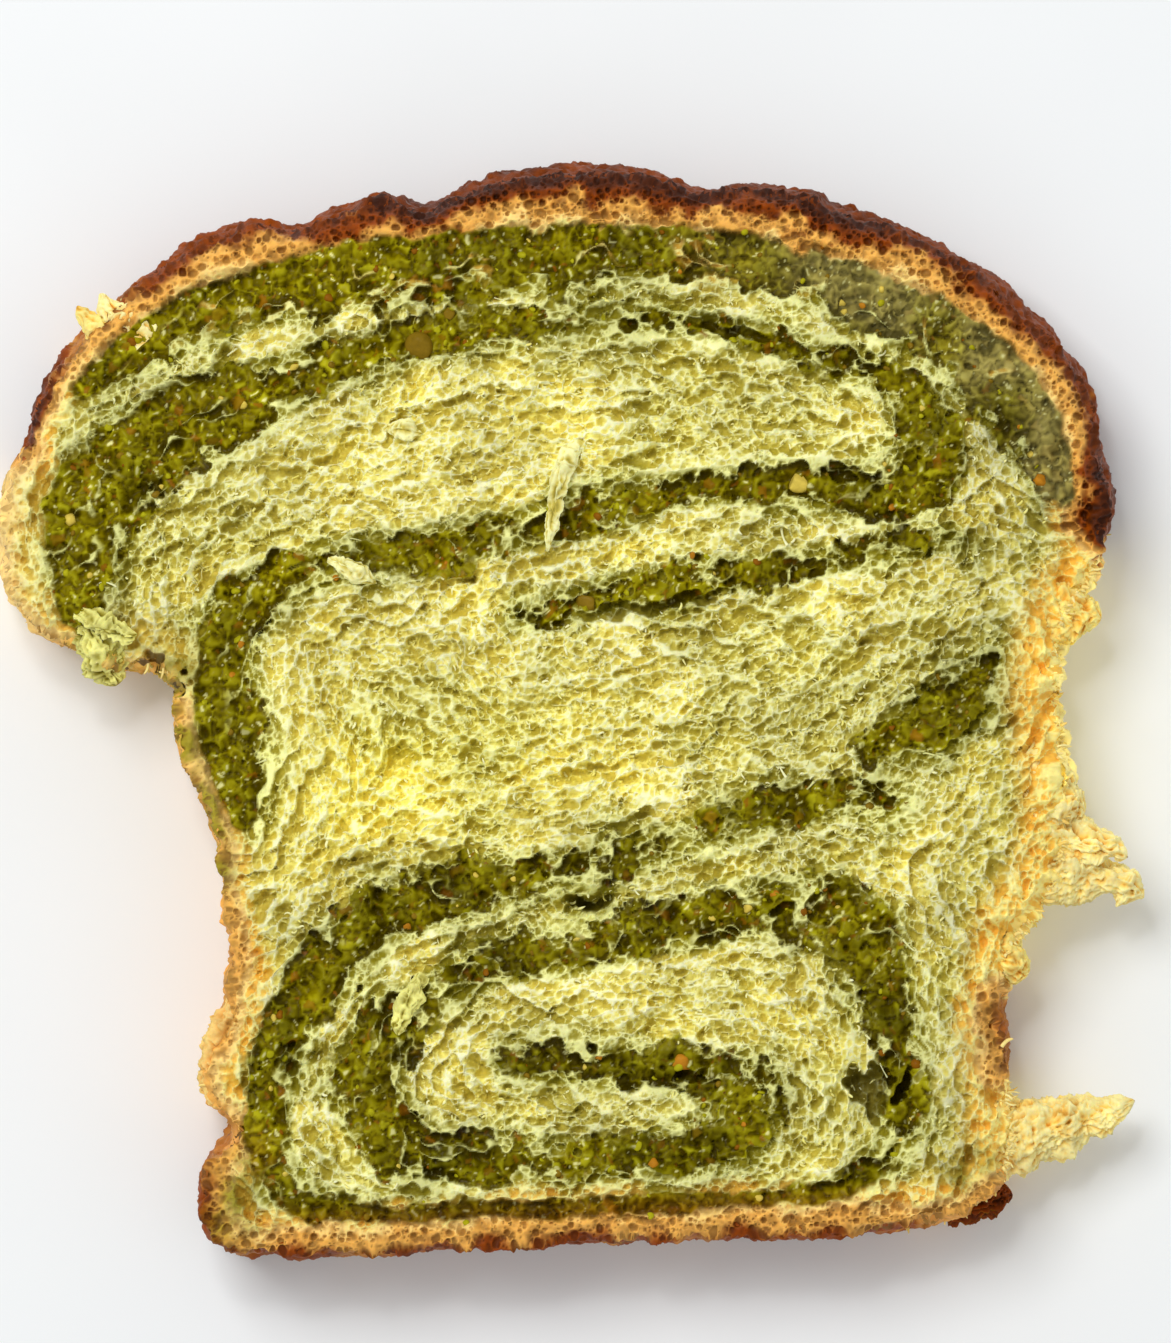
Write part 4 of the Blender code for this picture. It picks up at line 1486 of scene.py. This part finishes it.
@dataclass
class Strands:
    """Many thin tapering strands, each a bent tube of a few sides."""

    sides: int = 5
    joints: int = 7
    flat: float = 0.6

    def build(self, root: Array, tip: Array, lift: Array, radius: Array, tint: Array,
              both_ends: bool) -> Surface:
        """Bends each strand from root to tip through a point lifted off the middle.

        Its centre is the quadratic curve through the three. Its radius goes to nothing at the
        tip, or is least in the middle where both ends are held.

        Args:
            root, tip: ends, one row for each strand.
            lift: how far the middle stands off the straight line, as vectors.
            radius: greatest radius of each strand.
            tint: colour of each strand.
            both_ends: whether both ends are held.

        Returns:
            All the strands as one surface.
        """
        count = len(root)
        t = np.linspace(0, 1, self.joints)[None, :, None]
        line = root[:, None] * (1 - t) + tip[:, None] * t + 4 * t * (1 - t) * lift[:, None]
        ahead = unit(np.gradient(line, axis=1))
        side = unit(np.cross(ahead, np.array([0.1, 0.2, 1.0])))
        ring = rings(side, np.cross(side, ahead), self.sides, self.flat)
        shape = (0.55 + 1.8 * (t - 0.5) ** 2) if both_ends else np.sqrt(1 - 0.97 * t**4)
        reach = (radius[:, None, None] * shape)[:, :, :, None]
        points = (line[:, :, None] + ring * reach).reshape(-1, 3)
        tube = sheet_quads(self.joints, self.sides, closed=True)
        steps = np.arange(count)[:, None, None] * (self.joints * self.sides)
        quads = (tube[None] + steps).reshape(-1, 4)
        colours = np.repeat(tint, self.joints * self.sides, axis=0)
        return Surface(points, quads, colours, np.full(len(points), 0.15))


@dataclass
class NutBits:
    """Chopped nuts and crumbs: lumps with flattened sides. A side's plane lies at a random share
    of the radius, from closest to farthest."""

    rows: int = 9
    columns: int = 12
    planes: int = 7
    closest: float = 0.55
    farthest: float = 0.95

    def build(self, place: Array, size: Array, tint: Array, seed: int) -> Surface:
        """Each lump is a ball whose radius is cut back by a few random planes.

        Args:
            place: centre of each lump.
            size: its radii along three axes.
            tint: its colour.
            seed: picks the random planes.

        Returns:
            All the lumps as one surface.
        """
        draw = np.random.default_rng(seed)
        count = len(place)
        pole = 0.02
        up = np.linspace(pole, math.pi - pole, self.rows)[:, None]
        turn = np.linspace(0, 2 * math.pi, self.columns, endpoint=False)[None, :]
        ball = np.stack([np.sin(up) * np.cos(turn), np.sin(up) * np.sin(turn),
                         np.cos(up) + 0 * turn], axis=-1).reshape(-1, 3)
        reach = np.ones((count, len(ball)))
        for _ in range(self.planes):
            facing = spin(count, draw) @ ball.T
            cut = draw.uniform(self.closest, self.farthest, (count, 1))
            reach = np.minimum(reach, np.where(facing > 0.05, cut / np.maximum(facing, 0.05), 9))
        tilt = spin(count, draw)
        second = unit(np.cross(tilt, spin(count, draw)))
        third = np.cross(tilt, second)
        scaled = ball[None] * reach[..., None] * size[:, None]
        axes = np.stack([second, third, tilt], axis=1)
        points = (np.einsum("nkd,nde->nke", scaled, axes) + place[:, None]).reshape(-1, 3)
        shell = sheet_quads(self.rows, self.columns, closed=True)[:, ::-1]
        quads = (shell[None] + np.arange(count)[:, None, None] * len(ball)).reshape(-1, 4)
        return Surface(points, quads, np.repeat(tint, len(ball), axis=0),
                       np.full(len(points), 0.7))


# Larger pieces of nut on the cut face: x, y, radius and colour name.
NUTS = (
    (-18.0, 42.1, 1.7, "nut_olive"), (25.9, 26.4, 1.5, "nut_yellow"),
    (1.2, 12.6, 1.3, "nut_olive"), (12.2, -40.0, 1.9, "nut_amber"),
    (-58.1, 22.1, 0.9, "nut_yellow"), (53.5, 26.6, 0.9, "nut_amber"),
    (-31.6, 45.7, 0.9, "nut_yellow"), (36.0, 27.5, 0.7, "nut_amber"),
    (-33.0, 18.0, 0.8, "nut_amber"), (9.0, -52.0, 0.8, "nut_amber"),
    (-24.0, -30.0, 0.9, "nut_olive"), (20.0, -22.5, 0.8, "nut_yellow"),
    (-14.5, 45.9, 0.9, "nut_olive"), (-39.6, 4.0, 0.8, "nut_amber"),
)


def added(tree: bpy.types.NodeTree, kind: str, **values: object) -> bpy.types.Node:
    """A new node with values on its inputs, whose names are given with _ for each space."""
    node = tree.nodes.new(kind)
    set_inputs(node, {name.replace("_", " "): value for name, value in values.items()})
    return node


def set_inputs(node: bpy.types.Node, values: dict[str, object]) -> None:
    """Sets inputs of a node by name."""
    for name, value in values.items():
        node.inputs[name].default_value = value


def wired(tree: bpy.types.NodeTree, *wires: tuple) -> None:
    """Links nodes: each wire is a node, its output, another node and its input."""
    for source, output, target, slot in wires:
        tree.links.new(source.outputs[output], target.inputs[slot])


@dataclass(frozen=True)
class Finish:
    """A finish of bread or filling: its colour comes from the piece, the rest from here. Widths
    and depths are in millimetres."""

    name: str
    roughness: float
    bump: float
    bump_width: float
    scatter: float
    shine: float
    bump_strength: float = 0.6
    speckle_width: float = 0.9
    speckle_dark: float = 0.86
    speckle_light: float = 1.12
    wet_share: float = 0.55
    scatter_depth: float = 0.35
    scatter_colour: tuple[float, float, float] = (1.0, 0.8, 0.35)

    def material(self) -> bpy.types.Material:
        """Builds the node material.

        Colour is the piece's tint times fine speckle. Roughness falls where the piece is wet.
        The bump is fine noise over the surface.

        Returns:
            The material.
        """
        material = bpy.data.materials.new(self.name)
        material.use_nodes = True
        tree = material.node_tree
        shader = tree.nodes["Principled BSDF"]
        place = added(tree, "ShaderNodeTexCoord")
        speckle = added(tree, "ShaderNodeTexNoise", Scale=1 / (self.speckle_width * MM), Detail=4)
        shade = added(tree, "ShaderNodeMapRange", From_Min=0.3, From_Max=0.7,
                      To_Min=self.speckle_dark, To_Max=self.speckle_light)
        tint = added(tree, "ShaderNodeAttribute")
        tint.attribute_name = "tint"
        scale = added(tree, "ShaderNodeVectorMath")
        scale.operation = "SCALE"
        wet = added(tree, "ShaderNodeAttribute")
        wet.attribute_name = "wet"
        gloss = added(tree, "ShaderNodeMapRange", To_Min=self.roughness,
                      To_Max=self.roughness * self.wet_share)
        grain = added(tree, "ShaderNodeTexNoise", Scale=1 / (self.bump_width * MM), Detail=3)
        bump = added(tree, "ShaderNodeBump", Strength=self.bump_strength, Distance=self.bump * MM)
        wired(
            tree,
            (place, "Object", speckle, "Vector"),
            (speckle, "Fac", shade, "Value"),
            (tint, "Color", scale, 0),
            (shade, "Result", scale, "Scale"),
            (scale, "Vector", shader, "Base Color"),
            (wet, "Fac", gloss, "Value"),
            (gloss, "Result", shader, "Roughness"),
            (place, "Object", grain, "Vector"),
            (grain, "Fac", bump, "Height"),
            (bump, "Normal", shader, "Normal"),
        )
        set_inputs(shader, {
            "Subsurface Weight": self.scatter,
            "Subsurface Radius": self.scatter_colour,
            "Subsurface Scale": self.scatter_depth * MM,
            "Specular IOR Level": self.shine,
        })
        return material


OPEN_CRUMB = Finish("open crumb", roughness=0.55, bump=0.10, bump_width=0.30, scatter=0.25,
                    shine=0.12)
BAKED_CRUST = Finish("baked crust", roughness=0.46, bump=0.12, bump_width=0.40, scatter=0.0,
                     shine=0.08)
NUT_FILLING = Finish("pistachio filling", roughness=0.38, bump=0.08, bump_width=0.25, scatter=0.0,
                     shine=0.05)


@dataclass
class Dressing:
    """All the pieces of the dressed slice, with how many loose bits of each kind it has."""

    form: SliceForm
    bread: Bread
    pieces: list[bpy.types.Object] = field(default_factory=list)
    heights: PlaneField | None = None
    most_quads: int = 92000
    hidden_step: float = 0.42
    shreds: int = 900
    shred_inset: float = 0.5
    bridges: int = 40
    fuzz: int = 2600
    bits: int = 260

    def lay_faces(self, crumb: bpy.types.Material, paste: bpy.types.Material) -> dict[str, Surface]:
        """Makes the pieces of both cut faces.

        Args:
            crumb, paste: the finishes.

        Returns:
            The surfaces of the face that shows, by name.
        """
        face = CutFace(self.bread)
        shown = face.build()
        self.heights = face.heights
        hidden = CutFace(self.bread, step=self.hidden_step, underside=True).build()
        for name, surface in shown.items():
            if name == "crumb":
                self._crumb_tiles(surface, crumb)
                piece = hidden[name].piece("crumb_underside", crumb, Slot.CRUMB)
                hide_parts("dough")
            else:
                piece = surface.joined(hidden[name]).piece(name + "_paste", paste, Slot.PASTE)
                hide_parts(name)
            self.pieces.append(piece)
        return shown

    def _crumb_tiles(self, surface: Surface, crumb: bpy.types.Material) -> None:
        """Splits the crumb into tiles from the base to the crown, of equal numbers of quads.

        Args:
            surface: the whole crumb of the face that shows.
            crumb: the finish.
        """
        tiles = math.ceil(len(surface.quads) / self.most_quads)
        height = surface.points[surface.quads[:, 0], 1]
        edges = np.quantile(height, np.linspace(0, 1, tiles + 1))
        edges[-1] += 1
        for number in range(tiles):
            chosen = (height >= edges[number]) & (height < edges[number + 1])
            piece = surface.part(chosen).piece(f"crumb_{number + 1}", crumb, Slot.CRUMB)
            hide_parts("dough")
            self.pieces.append(piece)

    def lay_wall(self, crust: bpy.types.Material) -> None:
        """Makes the pieces of the outer wall, half of its quads in each."""
        wall = CrustWall(self.bread, self.heights).build()
        side = wall.points[wall.quads[:, 0], 1] > 0
        for name, chosen in (("crust_crown", side), ("crust_base", ~side)):
            piece = wall.part(chosen).piece(name, crust, Slot.CRUMB)
            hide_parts("dough")
            self.pieces.append(piece)

    def lay_tufts(self, crumb: bpy.types.Material) -> None:
        """Makes the torn tufts."""
        for tuft in TUFTS:
            piece = tuft.build().piece(tuft.name, crumb, Slot.CRUMB)
            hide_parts("dough")
            self.pieces.append(piece)

    def lay_shreds(self, crumb: bpy.types.Material) -> None:
        """Makes nubs that stand out of the torn wall and lie on the torn slope above it."""
        draw = np.random.default_rng(5)
        loop = self.form.outline
        torn = self.form.bake.at(loop)[:, 3]
        outward = self.form.outward(loop)
        count = self.shreds
        chosen = draw.choice(len(loop), count, p=torn**2 / (torn**2).sum())
        height = draw.uniform(3, 15.5, count)
        root = np.column_stack([loop[chosen] - outward[chosen] * self.shred_inset, height])
        way = np.column_stack([0.8 * outward[chosen], np.full(count, 0.25)]) + 0.8 * spin(count, draw)
        reach = draw.uniform(0.4, 1.2, count)[:, None]
        tip = root + way * reach
        lift = 0.25 * spin(count, draw) * reach
        shade = draw.uniform(0, 1, count) ** 1.5
        tint = mix(TONES.tuft_pale, TONES.tuft_pore_shade, shade)
        radius = draw.uniform(0.10, 0.24, count)
        surface = Strands(sides=6).build(root, tip, lift, radius, tint, both_ends=False)
        self.pieces.append(surface.piece("torn_shreds", crumb, Slot.CRUMB))

    def lay_threads(self, shown: dict[str, Surface], crumb: bpy.types.Material) -> None:
        """Makes pale threads that bridge from the crumb over the edge of the filling, and short
        fuzz on the crumb.

        Args:
            shown: the surfaces of the face that shows, by name.
            crumb: the finish.
        """
        draw = np.random.default_rng(6)
        points = shown["crumb"].points
        clear = self.form.clear.at(points[:, :2])
        inset = self.form.inset.at(points[:, :2])
        near = np.flatnonzero((clear > 0.4) & (clear < 1.8) & (inset > 8))
        count = self.bridges
        root = points[draw.choice(near, count)]
        way = unit(draw.normal(size=(count, 3)) * np.array([1, 1, 0.12]))
        reach = draw.uniform(1.0, 2.6, count)[:, None]
        tip = root + way * reach
        tip[:, 2] = self.form.top.at(tip[:, :2]) - draw.uniform(0.4, 1.0, count)
        lift = np.column_stack([0.3 * draw.normal(size=(count, 2)), draw.uniform(0.0, 0.25, count)])
        tint = mix(TONES.crumb_pale, TONES.stain_pale, draw.uniform(0, 1, count))
        radius = draw.uniform(0.10, 0.24, count)
        bridges = Strands().build(root, tip, lift, radius, tint, both_ends=True)
        open_crumb = np.flatnonzero((clear > 1.0) & (inset > 7))
        count = self.fuzz
        root = points[draw.choice(open_crumb, count)] - np.array([0, 0, 0.1])
        way = draw.normal(size=(count, 3)) * np.array([1, 1, 0.5])
        way[:, 2] = np.abs(way[:, 2])
        reach = draw.uniform(0.3, 0.9, count)[:, None]
        tip = root + unit(way) * reach
        lift = np.column_stack([0.1 * draw.normal(size=(count, 2)), draw.uniform(0, 0.15, count)])
        tint = mix(TONES.crumb_pale, TONES.crumb_mid, draw.uniform(0, 1, count))
        fuzz = Strands(joints=5).build(root, tip, lift, draw.uniform(0.09, 0.17, count), tint,
                                       both_ends=False)
        self.pieces.append(bridges.joined(fuzz).piece("crumb_threads", crumb, Slot.CRUMB))

    def lay_nuts(self, shown: dict[str, Surface], paste: bpy.types.Material) -> None:
        """Makes the larger nuts where they lie and scatters small bits over the filling.

        Args:
            shown: the surfaces of the face that shows, by name.
            paste: the finish.
        """
        draw = np.random.default_rng(7)
        rows = np.array([row[:3] for row in NUTS])
        where = rows[:, :2] + MEASURE_SHIFT
        level = self.form.top.at(where) - 0.25 * rows[:, 2] - 0.2
        place = np.column_stack([where, level])
        size = rows[:, 2:3] * draw.uniform(0.75, 1.1, (len(rows), 3))
        tint = np.array([getattr(TONES, row[3]) for row in NUTS])
        large = NutBits(15, 20).build(place, size, tint, 8)
        spots = np.vstack([s.points for name, s in shown.items() if name != "crumb"])
        spots = spots[spots[:, 2] > 10]
        count = self.bits
        place = spots[draw.choice(len(spots), count)]
        place[:, 2] -= 0.15
        size = draw.uniform(0.25, 0.6, (count, 1)) * draw.uniform(0.6, 1.2, (count, 3))
        shares = {"paste_light": 0.40, "nut_yellow": 0.14, "nut_amber": 0.08, "paste_brown": 0.14,
                  "nut_olive": 0.24}
        kinds = np.array([getattr(TONES, name) for name in shares])
        tint = kinds[draw.choice(len(kinds), count, p=tuple(shares.values()))]
        small = NutBits().build(place, size, tint, 9)
        self.pieces.append(large.joined(small).piece("nut_bits", paste, Slot.PASTE))


@dataclass
class Studio:
    """Pale floor, soft light and the camera straight above the slice. The camera's numbers are in
    millimetres. The floor's and the lamps' are in metres: place, width and power of each lamp."""

    pixel: float = 0.115
    frame_height: int = 1343
    centre: tuple[float, float] = (1.38, 4.68)
    distance: float = 1400.0
    sensor: float = 36.0
    floor_half: float = 1.6
    mottle: float = 30
    world_light: float = 0.56
    lamps: tuple[tuple[str, tuple[float, float, float], float, float], ...] = (
        ("window", (-0.42, 0.50, 1.15), 0.60, 8.0),
        ("lamp", (-0.15, 0.45, 1.20), 0.12, 1.0),
    )

    def build(self) -> None:
        """Makes floor, lights, world and camera."""
        self._floor()
        self._lights()
        self._camera()

    def _floor(self) -> None:
        """A large flat sheet just under the slice, with a faint mottle."""
        half = self.floor_half
        corners = [(-half, -half, 0), (half, -half, 0), (half, half, 0), (-half, half, 0)]
        mesh = bpy.data.meshes.new("pale_floor")
        mesh.from_pydata(corners, [], [(0, 1, 2, 3)])
        material = bpy.data.materials.new("pale floor")
        material.use_nodes = True
        tree = material.node_tree
        shader = tree.nodes["Principled BSDF"]
        set_inputs(shader, {"Roughness": 0.9})
        place = added(tree, "ShaderNodeTexCoord")
        mottle = added(tree, "ShaderNodeTexNoise", Scale=self.mottle)
        ramp = added(tree, "ShaderNodeValToRGB")
        ramp.color_ramp.elements[0].color = (*linear(243, 246, 247), 1)
        ramp.color_ramp.elements[1].color = (*linear(249, 252, 253), 1)
        wired(
            tree,
            (place, "Object", mottle, "Vector"),
            (mottle, "Fac", ramp, "Fac"),
            (ramp, "Color", shader, "Base Color"),
        )
        mesh.materials.append(material)
        floor = bpy.data.objects.new("pale_floor", mesh)
        bpy.context.scene.collection.objects.link(floor)

    def _lights(self) -> None:
        """A broad light from the upper left, a small weak one above, and a pale world."""
        for name, place, size, power in self.lamps:
            light = bpy.data.lights.new(name, "AREA")
            light.size = size
            light.energy = power
            lamp = bpy.data.objects.new(name, light)
            lamp.location = place
            aim = Vector((0, 0, 0.01)) - Vector(place)
            lamp.rotation_euler = aim.to_track_quat("-Z", "Y").to_euler()
            bpy.context.scene.collection.objects.link(lamp)
        world = bpy.data.worlds.new("pale world")
        world.use_nodes = True
        set_inputs(world.node_tree.nodes["Background"],
                   {"Color": (1, 1, 1, 1), "Strength": self.world_light})
        bpy.context.scene.world = world
        bpy.context.scene.view_settings.view_transform = "Standard"

    def _camera(self) -> None:
        """A long lens: its length is sensor times distance over the height of the view."""
        view = self.frame_height * self.pixel
        data = bpy.data.cameras.new("camera")
        data.sensor_width = self.sensor
        data.lens = self.sensor * self.distance / view
        data.clip_end = 20
        camera = bpy.data.objects.new("camera", data)
        x, y = self.centre
        camera.location = Vector((x, y, self.distance + THICKNESS)) * MM
        bpy.context.scene.collection.objects.link(camera)
        bpy.context.scene.camera = camera


def main() -> None:
    logging.basicConfig(level=logging.INFO, format="%(name)s %(message)s")
    crumb, crust, paste = (kind.material() for kind in (OPEN_CRUMB, BAKED_CRUST, NUT_FILLING))
    form = SliceForm(frame["nodes"])
    dressing = Dressing(form, Bread(form))
    shown = dressing.lay_faces(crumb, paste)
    dressing.lay_wall(crust)
    dressing.lay_tufts(crumb)
    dressing.lay_shreds(crumb)
    dressing.lay_threads(shown, crumb)
    dressing.lay_nuts(shown, paste)
    LOG.info("%d pieces", len(dressing.pieces))
    Studio().build()


if __name__ == "__main__":
    main()
